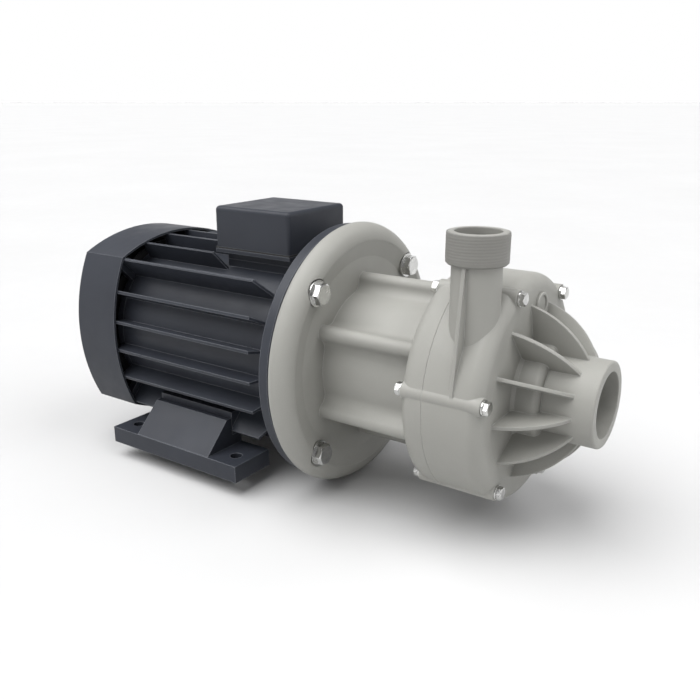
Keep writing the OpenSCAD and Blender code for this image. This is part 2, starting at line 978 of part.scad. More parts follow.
module rear_bearing_inner_ring() {
    color(steel) bearing_inner_ring(rear_bearing_s);
}

module front_bearing_balls() {
    color(steel) bearing_balls(front_bearing_s);
}

module rear_bearing_balls() {
    color(steel) bearing_balls(rear_bearing_s);
}

module front_bearing_cage() {
    color(black) bearing_cage(front_bearing_s);
}

module rear_bearing_cage() {
    color(black) bearing_cage(rear_bearing_s);
}

module shaft_seal() {
    color(black) ring(seal_s, seal_s + seal_w, seal_r - fit_gap, shaft_end_r + fit_gap);
}

// Barrel outline: a round tube with rounded ribs blended in by true arcs
module barrel_section() {
    half_w = barrel_rib_w / 2;
    tip_r = barrel_rib_r - half_w;
    centre_y = half_w + barrel_fillet;
    centre_r = barrel_r + barrel_fillet;
    centre_x = sqrt(centre_r * centre_r - centre_y * centre_y);
    circle(r = barrel_r);
    for (k = [0 : barrel_rib_count - 1]) {
        rotate([0, 0, barrel_rib_start + k * 360 / barrel_rib_count]) {
            translate([barrel_r / 2, -half_w]) square([tip_r - barrel_r / 2, barrel_rib_w]);
            translate([tip_r, 0]) circle(r = half_w);
            for (side = [-1, 1]) {
                difference() {
                    polygon([
                        [barrel_r / 2, 0],
                        [centre_x * barrel_r / centre_r, side * centre_y * barrel_r / centre_r],
                        [min(centre_x, tip_r), side * half_w]
                    ]);
                    translate([centre_x, side * centre_y]) circle(r = barrel_fillet);
                }
            }
        }
    }
}

module lantern_rim() {
    back_r = lantern_rim_r - lantern_back_round;
    front_r = lantern_rim_r - lantern_round;
    front_s = lantern_face - lantern_round;
    recess_s = spigot_t + spigot_end_gap;
    turned() {
        polygon([
            [lantern_bore_r, recess_s], [spigot_r + fit_gap, recess_s], [spigot_r + fit_gap, 0],
            [back_r, 0], [back_r, lantern_back_round], [lantern_rim_r, lantern_back_round],
            [front_r, front_s + cut], [front_r, lantern_face], [dish_r, lantern_face - dish_depth],
            [lantern_bore_r, lantern_face - dish_depth]
        ]);
        translate([back_r, lantern_back_round]) circle(r = lantern_back_round);
        intersection() {
            translate([front_r, front_s]) circle(r = lantern_round);
            translate([front_r - cut, front_s]) square([lantern_round + cut, lantern_round]);
        }
    }
}

module lantern_ring() {
    shell_s = seam - shell_flange_t;
    pocket_r = shell_flange_r + loose_gap;
    round_r = casing_r - ring_round;
    turned() {
        polygon([
            [lantern_bore_r, ring_back], [round_r, ring_back], [round_r, ring_back + ring_round],
            [casing_r, ring_back + ring_round], [casing_r, seam - seam_edge], [casing_r - seam_edge, seam],
            [pocket_r, seam], [pocket_r, shell_s],
            [lantern_bore_r, shell_s]
        ]);
        intersection() {
            translate([round_r, ring_back + ring_round]) circle(r = ring_round);
            translate([round_r - cut, ring_back]) square([ring_round + cut, ring_round + cut]);
        }
    }
}

module lantern() {
    color(plastic) difference() {
        union() {
            lantern_rim();
            lantern_ring();
            along_shaft(spigot_t + barrel_root, ring_back + barrel_sink) difference() {
                barrel_section();
                circle(r = lantern_bore_r);
            }
            for (k = [0 : casing_bolt_count - 1]) {
                rod(nut_face, seam, casing_boss_r, casing_bolt_r, bolt_angle(k));
            }
        }
        disc(-cut, spigot_t + spigot_end_gap, spigot_r + fit_gap);
        for (angle = flange_angles) {
            rod(-cut, lantern_face + cut, flange_hole_r, flange_pcd / 2, angle);
            rod(flange_seat, lantern_face + cut, flange_spot_r, flange_pcd / 2, angle);
        }
        for (k = [0 : casing_bolt_count - 1]) {
            rod(ring_back - cut, nut_face, spot_r, casing_bolt_r, bolt_angle(k));
            rod(ring_back - cut, seam + cut, casing_hole_r, casing_bolt_r, bolt_angle(k));
        }
    }
}

function bolt_angle(k) = casing_bolt_start + k * 360 / casing_bolt_count;

module flange_bolts() {
    head_s = flange_seat + flange_washer_t;
    tail_s = frame_front + flange_tail_gap;
    color(steel) for (angle = flange_angles) {
        rod(head_s, head_s + flange_head_t, flange_head_r, flange_pcd / 2, angle, 6);
        rod(tail_s, head_s + cut, flange_bolt_r, flange_pcd / 2, angle);
    }
}

module flange_washers() {
    color(steel) for (angle = flange_angles) {
        difference() {
            rod(flange_seat, flange_seat + flange_washer_t, flange_washer_r, flange_pcd / 2, angle);
            rod(flange_seat - cut, flange_seat + flange_washer_t + cut, flange_bolt_r + flange_washer_gap,
                flange_pcd / 2, angle);
        }
    }
}

// Turned body of the front casing, with rounded shoulder, gently rising face, rounded step and suction neck
module casing_body() {
    round_r = casing_r - front_round;
    round_s = casing_front - front_round;
    turned() {
        polygon([
            [0, seam], [casing_r - seam_edge, seam], [casing_r, seam + seam_edge], [casing_r, round_s],
            [round_r, round_s], [round_r, casing_front], [face_r, casing_front],
            [step_r + step_flare, face_top], [step_r, face_top + step_flare],
            [step_r, step_front - step_round], [step_r - step_round, step_front - step_round],
            [step_r - step_round, step_front],
            [neck_r, step_front], [neck_r, suction_face - neck_round],
            [neck_r - neck_round, suction_face - neck_round], [neck_r - neck_round, suction_face],
            [0, suction_face]
        ]);
        intersection() {
            translate([round_r, round_s]) circle(r = front_round);
            translate([round_r - cut, round_s - cut]) square([front_round + cut, front_round + cut]);
        }
        intersection() {
            translate([step_r - step_round, step_front - step_round]) circle(r = step_round);
            translate([step_r - step_round - cut, step_front - step_round - cut])
                square([step_round + cut, step_round + cut]);
        }
        translate([neck_r - neck_round, suction_face - neck_round]) circle(r = neck_round);
    }
}

// Front rib: a web in a plane through the shaft, with a bowed outer edge
module front_rib() {
    low_s = casing_front - rib_foot_sink;
    root_r = neck_r - rib_root_sink;
    run_r = rib_out_r - neck_r;
    run_s = rib_tip_s - casing_front;
    chord = sqrt(run_r * run_r + run_s * run_s);
    bow_r = (chord * chord / 4 + rib_bow * rib_bow) / (2 * rib_bow);
    back = bow_r - rib_bow;
    centre_r = (rib_out_r + neck_r) / 2 - back * run_s / chord;
    centre_s = (casing_front + rib_tip_s) / 2 - back * run_r / chord;
    rotate([90, 0, 0]) linear_extrude(height = rib_t, center = true) intersection() {
        translate([centre_r, centre_s]) circle(r = bow_r);
        translate([root_r, low_s]) square([casing_r - root_r, rib_tip_s - low_s]);
    }
}

// Discharge tube with its thread collar, standing on the near side of the casing
module discharge_form() {
    s = seam + discharge_ahead;
    collar_z = discharge_top - collar_h;
    translate([flange_x + s, -discharge_side, shaft_height]) {
        translate([0, 0, tube_root]) cylinder(h = discharge_top - tube_root - cut, r = tube_r);
        rotate_extrude() {
            polygon([
                [0, collar_z], [discharge_r - collar_round, collar_z],
                [discharge_r - collar_round, collar_z + collar_round],
                [discharge_r, collar_z + collar_round], [discharge_r, discharge_top - collar_edge],
                [discharge_r - collar_edge, discharge_top], [0, discharge_top]
            ]);
            intersection() {
                translate([discharge_r - collar_round, collar_z + collar_round]) circle(r = collar_round);
                translate([discharge_r - collar_round - cut, collar_z])
                    square([collar_round + cut, collar_round + cut]);
            }
        }
    }
    along_shaft(s - web_t / 2, s + web_t / 2) polygon([
        [-discharge_side, collar_z], [-discharge_side - tube_r - web_stand, collar_z],
        [-casing_r + web_foot_set, web_low], [-discharge_side, web_low]
    ]);
}

module front_casing() {
    s = seam + discharge_ahead;
    color(plastic) difference() {
        union() {
            casing_body();
            on_shaft() for (k = [0 : front_rib_count - 1]) {
                rotate([0, 0, 180 - rib_start - k * 360 / front_rib_count]) front_rib();
            }
            for (k = [0 : casing_bolt_count - 1]) {
                rod(seam, casing_front, casing_boss_r, casing_bolt_r, bolt_angle(k));
            }
            discharge_form();
        }
        rod(casing_front - pad_depth, face_top + cut, pad_r, pad_circle_r, pad_angle);
        disc(seam - cut, seam + mouth_depth + cut, mouth_r);
        disc(seam + mouth_depth, seam + volute_depth, volute_r);
        disc(seam + volute_depth - cut, seam + eye_pocket_depth, eye_pocket_r);
        disc(seam + eye_pocket_depth - cut, suction_face, throat_r);
        disc(suction_face - suction_depth, suction_face + cut, suction_bore_r);
        translate([flange_x + s, -discharge_side, shaft_height]) {
            translate([0, 0, discharge_floor])
                cylinder(h = discharge_top - discharge_floor, r = channel_r);
            translate([0, 0, discharge_top - collar_h]) cylinder(h = collar_h + cut, r = discharge_bore_r);
        }
        ring(seam - cut, seam + 2 * seal_cord_r + fit_gap, seal_groove_r + seal_groove_half,
             seal_groove_r - seal_groove_half);
        for (k = [0 : casing_bolt_count - 1]) {
            rod(seam - cut, casing_front + cut, casing_hole_r, casing_bolt_r, bolt_angle(k));
        }
    }
}

module casing_seal() {
    color(black) turned() translate([seal_groove_r, seam + seal_cord_r]) circle(r = seal_cord_r);
}

module casing_bolts() {
    head_s = casing_front + casing_washer_t;
    tail_s = nut_face - casing_washer_t - casing_nut_t - casing_tail;
    color(steel) for (k = [0 : casing_bolt_count - 1]) {
        rod(head_s, head_s + casing_head_t, casing_head_r, casing_bolt_r, bolt_angle(k), 6);
        rod(tail_s, head_s + cut, casing_bolt_rad, casing_bolt_r, bolt_angle(k));
    }
}

module casing_washer(from, angle) {
    difference() {
        rod(from, from + casing_washer_t, casing_washer_r, casing_bolt_r, angle);
        rod(from - cut, from + casing_washer_t + cut, casing_bolt_rad + casing_washer_gap, casing_bolt_r,
            angle);
    }
}

module casing_washers() {
    color(steel) for (k = [0 : casing_bolt_count - 1]) {
        casing_washer(casing_front, bolt_angle(k));
        casing_washer(nut_face - casing_washer_t, bolt_angle(k));
    }
}

module casing_nuts() {
    from = nut_face - casing_washer_t - casing_nut_t;
    color(steel) for (k = [0 : casing_bolt_count - 1]) {
        difference() {
            rod(from, from + casing_nut_t, casing_head_r, casing_bolt_r, bolt_angle(k), 6);
            rod(from - cut, from + casing_nut_t + cut, casing_bolt_rad + fit_gap, casing_bolt_r,
                bolt_angle(k));
        }
    }
}

module containment_shell() {
    outer = shell_in_r + shell_wall;
    inner_s = shell_end + shell_end_t;
    flange_s = seam - shell_flange_t;
    color(carbon) turned() polygon([
        [0, shell_end], [outer, shell_end], [outer, flange_s], [shell_flange_r, flange_s],
        [shell_flange_r, seam], [shell_in_r, seam], [shell_in_r, inner_s], [shell_boss_r, inner_s],
        [shell_boss_r, inner_s + shell_boss_t], [pin_r + fit_gap, inner_s + shell_boss_t],
        [pin_r + fit_gap, pin_back - fit_gap], [0, pin_back - fit_gap]
    ]);
}

module pump_shaft() {
    color(white) disc(pin_back, pin_front, pin_r);
}

module front_thrust_ring() {
    color(white) ring(front_thrust_s, front_thrust_s + thrust_t, thrust_r, pin_r + fit_gap);
}

module rear_thrust_ring() {
    color(white) ring(rear_thrust_s, rear_thrust_s + thrust_t, thrust_r, pin_r + fit_gap);
}

// Three-armed support that holds the front end of the fixed shaft in the suction eye
module shaft_support() {
    rim_r = eye_pocket_r - fit_gap;
    arm_end = seam + eye_pocket_depth;
    color(plastic) difference() {
        union() {
            disc(support_hub_s, arm_end, support_hub_r);
            ring(support_arm_s, arm_end, rim_r, support_rim_in_r);
            along_shaft(support_arm_s, arm_end) for (k = [0 : support_arm_count - 1]) {
                rotate([0, 0, support_arm_start + k * 360 / support_arm_count])
                    translate([0, -support_arm_w / 2])
                        square([(rim_r + support_rim_in_r) / 2, support_arm_w]);
            }
        }
        disc(support_hub_s - cut, pin_front + fit_gap, pin_r + fit_gap);
    }
}

module wear_ring() {
    color(carbon) ring(wear_ring_s, wear_ring_s + wear_ring_w, eye_pocket_r - fit_gap, wear_ring_in_r);
}

module motor_shaft() {
    front_seat_s = front_bearing_s;
    rear_seat_end = rear_bearing_s + bearing_w;
    color(steel) difference() {
        turned() polygon([
            [0, fan_back + fan_blade_set], [fan_seat_r, fan_back + fan_blade_set],
            [fan_seat_r, fan_front + fan_shoulder], [bearing_seat_r, fan_front + fan_shoulder],
            [bearing_seat_r, rear_seat_end], [shoulder_r, rear_seat_end],
            [shoulder_r, core_back - cage_ring], [core_seat_r, core_back - cage_ring],
            [core_seat_r, core_front + cage_ring], [shoulder_r, core_front + cage_ring],
            [shoulder_r, front_seat_s], [bearing_seat_r, front_seat_s],
            [bearing_seat_r, front_seat_s + bearing_w], [shaft_end_r, front_seat_s + bearing_w],
            [shaft_end_r, shaft_end], [0, shaft_end]
        ]);
        key_slot(fit_gap);
        disc(shaft_end - hub_screw_depth - hub_screw_spare, shaft_end + cut, hub_screw_r + fit_gap);
    }
}

module key_slot(gap) {
    block(key_s - gap, key_s + key_length + gap, -key_w / 2 - gap, key_w / 2 + gap,
          shaft_end_r - key_h / 2 - gap, shaft_end_r + key_h / 2 + gap);
}

module shaft_key() {
    color(steel) key_slot(0);
}

module rotor_core() {
    color(iron) along_shaft(core_back, core_front) difference() {
        circle(r = air_r - air_gap);
        circle(r = core_seat_r + fit_gap);
        for (k = [0 : bar_count - 1]) {
            rotate([0, 0, k * 360 / bar_count]) translate([bar_circle_r, 0]) circle(r = bar_r + fit_gap);
        }
    }
}

module rotor_cage() {
    color(alloy) {
        for (k = [0 : bar_count - 1]) {
            rod(core_back - cut, core_front + cut, bar_r, bar_circle_r, k * 360 / bar_count);
        }
        ring(core_back - cage_ring, core_back - fit_gap, cage_out_r, cage_in_r);
        ring(core_front + fit_gap, core_front + cage_ring, cage_out_r, cage_in_r);
    }
}

module cooling_fan() {
    color(black) difference() {
        union() {
            disc(fan_back, fan_front, fan_hub_r);
            disc(fan_front - fan_disc_t, fan_front, fan_disc_r);
            along_shaft(fan_back + fan_blade_set, fan_front - cut) for (k = [0 : fan_blade_count - 1]) {
                rotate([0, 0, k * 360 / fan_blade_count]) translate([fan_blade_root_r, -fan_blade_t / 2])
                    square([fan_blade_r - fan_blade_root_r, fan_blade_t]);
            }
        }
        disc(fan_back - cut, fan_front + cut, fan_seat_r + fit_gap);
    }
}

module drive_magnet_hub() {
    wall_in_r = drive_magnet_out_r + fit_gap;
    cup_floor = cup_back + cup_floor_t;
    color(iron) difference() {
        turned() polygon([
            [shaft_end_r + fit_gap, hub_back], [hub_r, hub_back], [hub_r, cup_back], [cup_r, cup_back],
            [cup_r, cup_front], [wall_in_r, cup_front], [wall_in_r, cup_floor], [hub_r, cup_floor],
            [hub_r, hub_front], [shaft_end_r + fit_gap, hub_front]
        ]);
        block(hub_back - cut, hub_front + cut, -key_w / 2 - fit_gap, key_w / 2 + fit_gap,
              0, shaft_end_r + key_h / 2 + 2 * fit_gap);
    }
}

module drive_magnets() {
    color(carbon) along_shaft(drive_magnet_s, drive_magnet_s + drive_magnet_length)
        for (k = [0 : magnet_count - 1]) {
            rotate([0, 0, k * 360 / magnet_count])
                ring_sector(drive_magnet_in_r, drive_magnet_out_r, magnet_half_angle);
        }
}

module hub_washer() {
    color(steel) ring(hub_front, hub_front + hub_washer_t, hub_washer_r, hub_screw_r + hub_washer_gap);
}

module hub_screw() {
    head_s = hub_front + hub_washer_t;
    color(steel) {
        on_shaft(head_s) cylinder(h = hub_screw_head_t, r = hub_screw_head_r, $fn = 6);
        disc(shaft_end - hub_screw_depth, head_s + cut, hub_screw_r);
    }
}

module impeller_vane() {
    intersection() {
        difference() {
            translate([vane_centre, 0]) circle(r = vane_arc_r + vane_t / 2);
            translate([vane_centre, 0]) circle(r = vane_arc_r - vane_t / 2);
        }
        difference() {
            circle(r = impeller_r - vane_tip_set);
            circle(r = vane_in_r);
        }
        translate([-casing_r, 0]) square([2 * casing_r, casing_r]);
    }
}

module impeller() {
    vane_s = back_shroud_s + back_shroud_t;
    color(plastic) {
        ring(rotor_back, rotor_front, sleeve_r, bush_r + fit_gap);
        ring(back_shroud_s, vane_s, impeller_r, sleeve_r - cut);
        along_shaft(vane_s - cut, front_shroud_s) for (k = [0 : vane_count - 1]) {
            rotate([0, 0, k * 360 / vane_count]) impeller_vane();
        }
    }
}

module impeller_shroud() {
    color(plastic) turned() polygon([
        [eye_in_r, front_shroud_s], [impeller_r, front_shroud_s],
        [impeller_r, front_shroud_s + front_shroud_t], [eye_out_r, front_shroud_s + front_shroud_t],
        [eye_out_r, front_shroud_s + eye_length],
        [eye_in_r, front_shroud_s + eye_length]
    ]);
}

module carrier_pockets(gap) {
    for (k = [0 : magnet_count - 1]) {
        rotate([0, 0, k * 360 / magnet_count])
            ring_sector(inner_magnet_in_r - gap, inner_magnet_out_r + gap, magnet_half_angle + gap);
    }
}

module magnet_carrier() {
    front = carrier_s + carrier_length;
    color(plastic) difference() {
        ring(carrier_s, front, carrier_r, sleeve_r + fit_gap);
        along_shaft(carrier_s + inner_magnet_margin - fit_gap, front - inner_magnet_margin + fit_gap)
            carrier_pockets(fit_gap);
    }
}

module carrier_magnets() {
    front = carrier_s + carrier_length;
    color(carbon) along_shaft(carrier_s + inner_magnet_margin, front - inner_magnet_margin)
        carrier_pockets(0);
}

module shaft_bushes() {
    color(carbon) {
        ring(rotor_back, rotor_back + bush_length, bush_r, pin_r + fit_gap);
        ring(rotor_front - bush_length, rotor_front, bush_r, pin_r + fit_gap);
    }
}

motor_frame();
drive_end_shield();
rear_end_shield();
shield_screws();
stator_core();
stator_windings();
fan_cowl();
cowl_screws();
terminal_box_base();
terminal_box_gasket();
terminal_box_lid();
terminal_board();
terminal_studs();
cable_gland();
near_foot();
far_foot();
foot_screws();
front_bearing_outer_ring();
rear_bearing_outer_ring();
shaft_seal();
lantern();
flange_bolts();
flange_washers();
front_casing();
containment_shell();
casing_seal();
casing_bolts();
casing_washers();
casing_nuts();
pump_shaft();
shaft_support();
front_thrust_ring();
rear_thrust_ring();
wear_ring();
motor_shaft();
rotor_core();
rotor_cage();
front_bearing_inner_ring();
rear_bearing_inner_ring();
cooling_fan();
shaft_key();
drive_magnet_hub();
drive_magnets();
hub_washer();
hub_screw();
front_bearing_balls();
front_bearing_cage();
rear_bearing_balls();
rear_bearing_cage();
impeller();
impeller_shroud();
magnet_carrier();
carrier_magnets();
shaft_bushes();
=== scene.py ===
# %% [markdown]
# A magnetic drive pump stands on a pale studio floor.
# A dark finned motor turns a ring of magnets, and these pull a second ring through a sealed shell.
# The solids come ready made from the frame.
# This lesson adds their finishes, a pipe thread, bolts and screws, and two small mouldings.

# %% Load the frame and keep its box
import json
import bmesh
import bpy
import numpy as np
from mathutils import Matrix, Vector


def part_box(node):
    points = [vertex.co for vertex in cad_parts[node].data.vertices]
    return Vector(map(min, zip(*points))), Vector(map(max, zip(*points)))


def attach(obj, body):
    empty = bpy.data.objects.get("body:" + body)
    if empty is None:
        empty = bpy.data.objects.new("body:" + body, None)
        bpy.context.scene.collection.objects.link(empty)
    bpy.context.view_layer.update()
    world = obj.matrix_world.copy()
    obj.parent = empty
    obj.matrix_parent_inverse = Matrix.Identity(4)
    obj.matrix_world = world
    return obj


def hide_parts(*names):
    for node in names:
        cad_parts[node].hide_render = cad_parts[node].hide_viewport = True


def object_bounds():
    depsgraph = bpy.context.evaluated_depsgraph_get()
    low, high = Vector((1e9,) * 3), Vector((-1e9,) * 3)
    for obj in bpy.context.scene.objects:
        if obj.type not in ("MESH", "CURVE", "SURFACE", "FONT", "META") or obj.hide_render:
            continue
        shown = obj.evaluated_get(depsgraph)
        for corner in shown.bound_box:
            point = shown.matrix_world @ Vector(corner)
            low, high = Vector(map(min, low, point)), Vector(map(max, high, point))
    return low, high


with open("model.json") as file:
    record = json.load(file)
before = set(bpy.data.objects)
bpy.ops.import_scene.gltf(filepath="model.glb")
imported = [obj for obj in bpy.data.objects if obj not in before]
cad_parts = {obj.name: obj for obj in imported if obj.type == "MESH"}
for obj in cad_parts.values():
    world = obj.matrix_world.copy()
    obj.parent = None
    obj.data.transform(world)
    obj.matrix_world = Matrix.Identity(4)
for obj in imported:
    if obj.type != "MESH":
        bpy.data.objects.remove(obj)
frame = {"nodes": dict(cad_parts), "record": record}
nodes = frame["nodes"]
cad_low, cad_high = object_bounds()
print("solids loaded:", len(nodes))

# %% [markdown]
# The camera looks down on the discharge side from in front of the suction port.
# Its place was found by matching foot holes, flange bolts and casing bolts with the picture.
# The three rows of the matrix are the directions right, up and back of the camera.

# %% Camera
CAMERA_PLACE = (0.56829, -0.61882, 0.35223)
CAMERA_RIGHT = (0.822097, 0.569347, 0.000085)
CAMERA_UP = (-0.172349, 0.248718, 0.953119)
CAMERA_BACK = (0.542634, -0.783571, 0.302597)
LENS_MM = 41.09
SENSOR_MM = 36.0
SIGHT_METRES = 50.0

camera_data = bpy.data.cameras.new("studio_camera")
camera_data.lens = LENS_MM
camera_data.sensor_width = SENSOR_MM
camera_data.clip_end = SIGHT_METRES
camera = bpy.data.objects.new("studio_camera", camera_data)
camera_turn = Matrix((CAMERA_RIGHT, CAMERA_UP, CAMERA_BACK)).transposed().to_4x4()
camera.matrix_world = Matrix.Translation(CAMERA_PLACE) @ camera_turn
bpy.context.scene.collection.objects.link(camera)
bpy.context.scene.camera = camera
print("camera lens in mm:", LENS_MM)

# %% [markdown]
# Every new piece below is a grid of points worked out with numpy, with one array for each of x, y and z.
# The helper joins neighbouring points into four-sided faces and can close the grid round one direction.
# Whole arrays go into the mesh at once, which keeps the script quick.

# %% Grid to mesh
SHARP_ANGLE = np.radians(28.0)
SAME_PLACE = 1e-7


def grid_faces(rows, columns, wrap, first=0):
    """Corner numbers of the faces of a grid: each point with its right, upper right and upper neighbour."""
    across = columns if wrap else columns - 1
    row, column = np.meshgrid(np.arange(rows - 1), np.arange(across), indexing="ij")
    beside = (column + 1) % columns
    corners = np.stack([row * columns + column, row * columns + beside,
                        (row + 1) * columns + beside, (row + 1) * columns + column], axis=-1)
    return corners.reshape(-1, 4) + first


def close_skin(mesh):
    """Joins points that lie in one place, such as a pole, and turns every face outwards."""
    work = bmesh.new()
    work.from_mesh(mesh)
    bmesh.ops.remove_doubles(work, verts=work.verts, dist=SAME_PLACE)
    bmesh.ops.dissolve_degenerate(work, edges=work.edges, dist=SAME_PLACE)
    bmesh.ops.recalc_face_normals(work, faces=work.faces)
    work.to_mesh(mesh)
    work.free()


def mesh_piece(name, points, faces, material):
    """One object from an array of points and an array of four-cornered faces, placed by its points alone."""
    mesh = bpy.data.meshes.new(name)
    mesh.from_pydata(points.tolist(), [], faces.tolist())
    close_skin(mesh)
    mesh.polygons.foreach_set("use_smooth", np.full(len(mesh.polygons), True))
    mesh.set_sharp_from_angle(angle=SHARP_ANGLE)
    mesh.materials.append(material)
    mesh.update()
    piece = bpy.data.objects.new(name, mesh)
    bpy.context.scene.collection.objects.link(piece)
    print(name, "has", len(mesh.polygons), "faces")
    return piece


print("a grid of 3 by 4 points has", len(grid_faces(3, 4, False)), "faces")

# %% [markdown]
# A finish is more than one colour.
# Paint, moulded plastic and bare metal vary a little from place to place and catch light on their edges.
# The helpers below build that from noise on Object coordinates, which stay fixed to the piece.

# %% Noise for a finish
SOFT_DETAIL = 4.0
LINE_DETAIL = 3.0
FINE_DETAIL = 2.0
EVEN = (1.0, 1.0, 1.0)


def new_finish(name):
    """A new material, its node tree and its shader."""
    finish = bpy.data.materials.new(name)
    finish.use_nodes = True
    tree = finish.node_tree
    return finish, tree, tree.nodes["Principled BSDF"]


def noise(tree, scale, detail=SOFT_DETAIL, stretch=EVEN):
    """Noise on the piece's own coordinates, stretched along the axes."""
    place = tree.nodes.new("ShaderNodeTexCoord")
    mapping = tree.nodes.new("ShaderNodeMapping")
    mapping.inputs["Scale"].default_value = stretch
    texture = tree.nodes.new("ShaderNodeTexNoise")
    texture.inputs["Scale"].default_value = scale
    texture.inputs["Detail"].default_value = detail
    tree.links.new(place.outputs["Object"], mapping.inputs["Vector"])
    tree.links.new(mapping.outputs["Vector"], texture.inputs["Vector"])
    return texture.outputs["Fac"]


print("detail of soft, line and fine noise:", SOFT_DETAIL, LINE_DETAIL, FINE_DETAIL)

# %% [markdown]
# Noise alone is a grey value, so three helpers turn it into a tone, an amount or a mix of colours.
# Noise rarely leaves the middle of its range, so a tone or roughness is spread over that middle.

# %% Tones and amounts
NOISE_LOW = 0.3
NOISE_HIGH = 0.7
# Every kind of mix shares one set of socket names, so the colour sockets go by number
MIX_UNDER = 6
MIX_OVER = 7
MIX_RESULT = 2


def two_tone(tree, source, dark, light, low=NOISE_LOW, high=NOISE_HIGH):
    """Runs from one colour to another as a source goes from low to high."""
    node = tree.nodes.new("ShaderNodeValToRGB")
    for element, place, colour in zip(node.color_ramp.elements, (low, high), (dark, light)):
        element.position = place
        element.color = (*colour, 1.0)
    tree.links.new(source, node.inputs["Fac"])
    return node.outputs["Color"]


def spread(tree, source, low, high):
    """Maps the middle of a noise onto the range low to high."""
    node = tree.nodes.new("ShaderNodeMapRange")
    node.inputs["From Min"].default_value = NOISE_LOW
    node.inputs["From Max"].default_value = NOISE_HIGH
    node.inputs["To Min"].default_value = low
    node.inputs["To Max"].default_value = high
    tree.links.new(source, node.inputs["Value"])
    return node.outputs["Result"]


def blend_colour(tree, amount, under, over):
    """Two colours mixed by an amount from 0 to 1; the upper one is a fixed colour."""
    node = tree.nodes.new("ShaderNodeMix")
    node.data_type = "RGBA"
    tree.links.new(amount, node.inputs["Factor"])
    tree.links.new(under, node.inputs[MIX_UNDER])
    node.inputs[MIX_OVER].default_value = (*over, 1.0)
    return node.outputs[MIX_RESULT]


print("noise is spread from", NOISE_LOW, "to", NOISE_HIGH)

# %% [markdown]
# Edges need two more helpers.
# A bevel node gives the normal that a rounded edge would have, without any change to the solid.
# Where that normal leans away from the true one there is an edge, and a paler colour mixed in there is a
# painted highlight.
# The same rounded normal lies under the fine relief, so edges catch a thin line of light.

# %% Helpers for edges and relief
EDGE_SAMPLES = 4
ROUND_SAMPLES = 6


def edges(tree, radius, low, high):
    """Amount from 0 on flat places to 1 on edges: how far a rounded normal leans from the true one."""
    rounded = tree.nodes.new("ShaderNodeBevel")
    rounded.samples = EDGE_SAMPLES
    rounded.inputs["Radius"].default_value = radius
    true_normal = tree.nodes.new("ShaderNodeNewGeometry")
    lean = tree.nodes.new("ShaderNodeVectorMath")
    lean.operation = "DOT_PRODUCT"
    tree.links.new(rounded.outputs["Normal"], lean.inputs[0])
    tree.links.new(true_normal.outputs["True Normal"], lean.inputs[1])
    node = tree.nodes.new("ShaderNodeMapRange")
    node.inputs["From Min"].default_value = high
    node.inputs["From Max"].default_value = low
    tree.links.new(lean.outputs["Value"], node.inputs["Value"])
    return node.outputs["Result"]


def relief(tree, shader, source, strength, distance, radius):
    """Bump from a source, on top of edges rounded by a small radius."""
    bump = tree.nodes.new("ShaderNodeBump")
    bump.inputs["Strength"].default_value = strength
    bump.inputs["Distance"].default_value = distance
    rounded = tree.nodes.new("ShaderNodeBevel")
    rounded.samples = ROUND_SAMPLES
    rounded.inputs["Radius"].default_value = radius
    tree.links.new(source, bump.inputs["Height"])
    tree.links.new(rounded.outputs["Normal"], bump.inputs["Normal"])
    tree.links.new(bump.outputs["Normal"], shader.inputs["Normal"])


print("samples for a rounded normal:", ROUND_SAMPLES)

# %% [markdown]
# The motor wears a satin enamel in dark blue grey.
# Sprayed enamel has a faint orange-peel relief and thins over sharp edges.
# A rounded normal finds those edges, so the paler tone there needs no painting by hand: it stands for the
# thinner enamel and is also a painted highlight.

# %% Motor enamel
PAINT_DARK = (0.023, 0.0255, 0.033)
PAINT_MID = (0.029, 0.0325, 0.0415)
# The edge colour is a painted highlight, and it also stands for enamel thinned over the edges.
PAINT_EDGE_HIGHLIGHT = (0.12, 0.127, 0.142)
PAINT_CLOUD = 14.0
PAINT_GLOSS_CLOUD = 60.0
PAINT_ROUGH = (0.38, 0.48)
PAINT_SHINE = 0.25
PEEL_GRAIN = 700.0

paint, tree, shader = new_finish("motor_enamel")
patches = two_tone(tree, noise(tree, PAINT_CLOUD), PAINT_DARK, PAINT_MID)
# Edges are mixed towards the paler colour: a painted highlight over thinner enamel.
painted_edge_highlight = blend_colour(tree, edges(tree, radius=0.0012, low=0.90, high=0.995), patches, PAINT_EDGE_HIGHLIGHT)
tree.links.new(painted_edge_highlight, shader.inputs["Base Color"])
tree.links.new(spread(tree, noise(tree, PAINT_GLOSS_CLOUD), *PAINT_ROUGH), shader.inputs["Roughness"])
relief(tree, shader, noise(tree, PEEL_GRAIN, FINE_DETAIL), strength=0.10, distance=0.0004, radius=0.0009)
shader.inputs["Specular IOR Level"].default_value = PAINT_SHINE
print("finish made:", paint.name)

# %% [markdown]
# Corners and the feet of the ribs on a casing get a painted shade: their colour is mixed towards a darker
# one.
# The occlusion node finds such places, because nearby walls close in on them.

# %% Painted shade in corners
SHADE_SAMPLES = 6
SHADE_OPEN = 0.85
SHADE_DEEP = 0.15
SHADE_MOST = 0.45


# Painted shade: where occlusion finds a corner, the colour is darkened as shade would darken it.
def painted_shade(tree, reach):
    """Amount of painted shade, from none in the open to its most deep in a corner."""
    node = tree.nodes.new("ShaderNodeAmbientOcclusion")
    node.samples = SHADE_SAMPLES
    node.inputs["Distance"].default_value = reach
    turned = tree.nodes.new("ShaderNodeMapRange")
    turned.inputs["From Min"].default_value = SHADE_OPEN
    turned.inputs["From Max"].default_value = SHADE_DEEP
    turned.inputs["To Max"].default_value = SHADE_MOST
    tree.links.new(node.outputs["AO"], turned.inputs["Value"])
    return turned.outputs["Result"]


# The value printed is the most painted shade in a corner.
print("most dust in a corner:", SHADE_MOST)
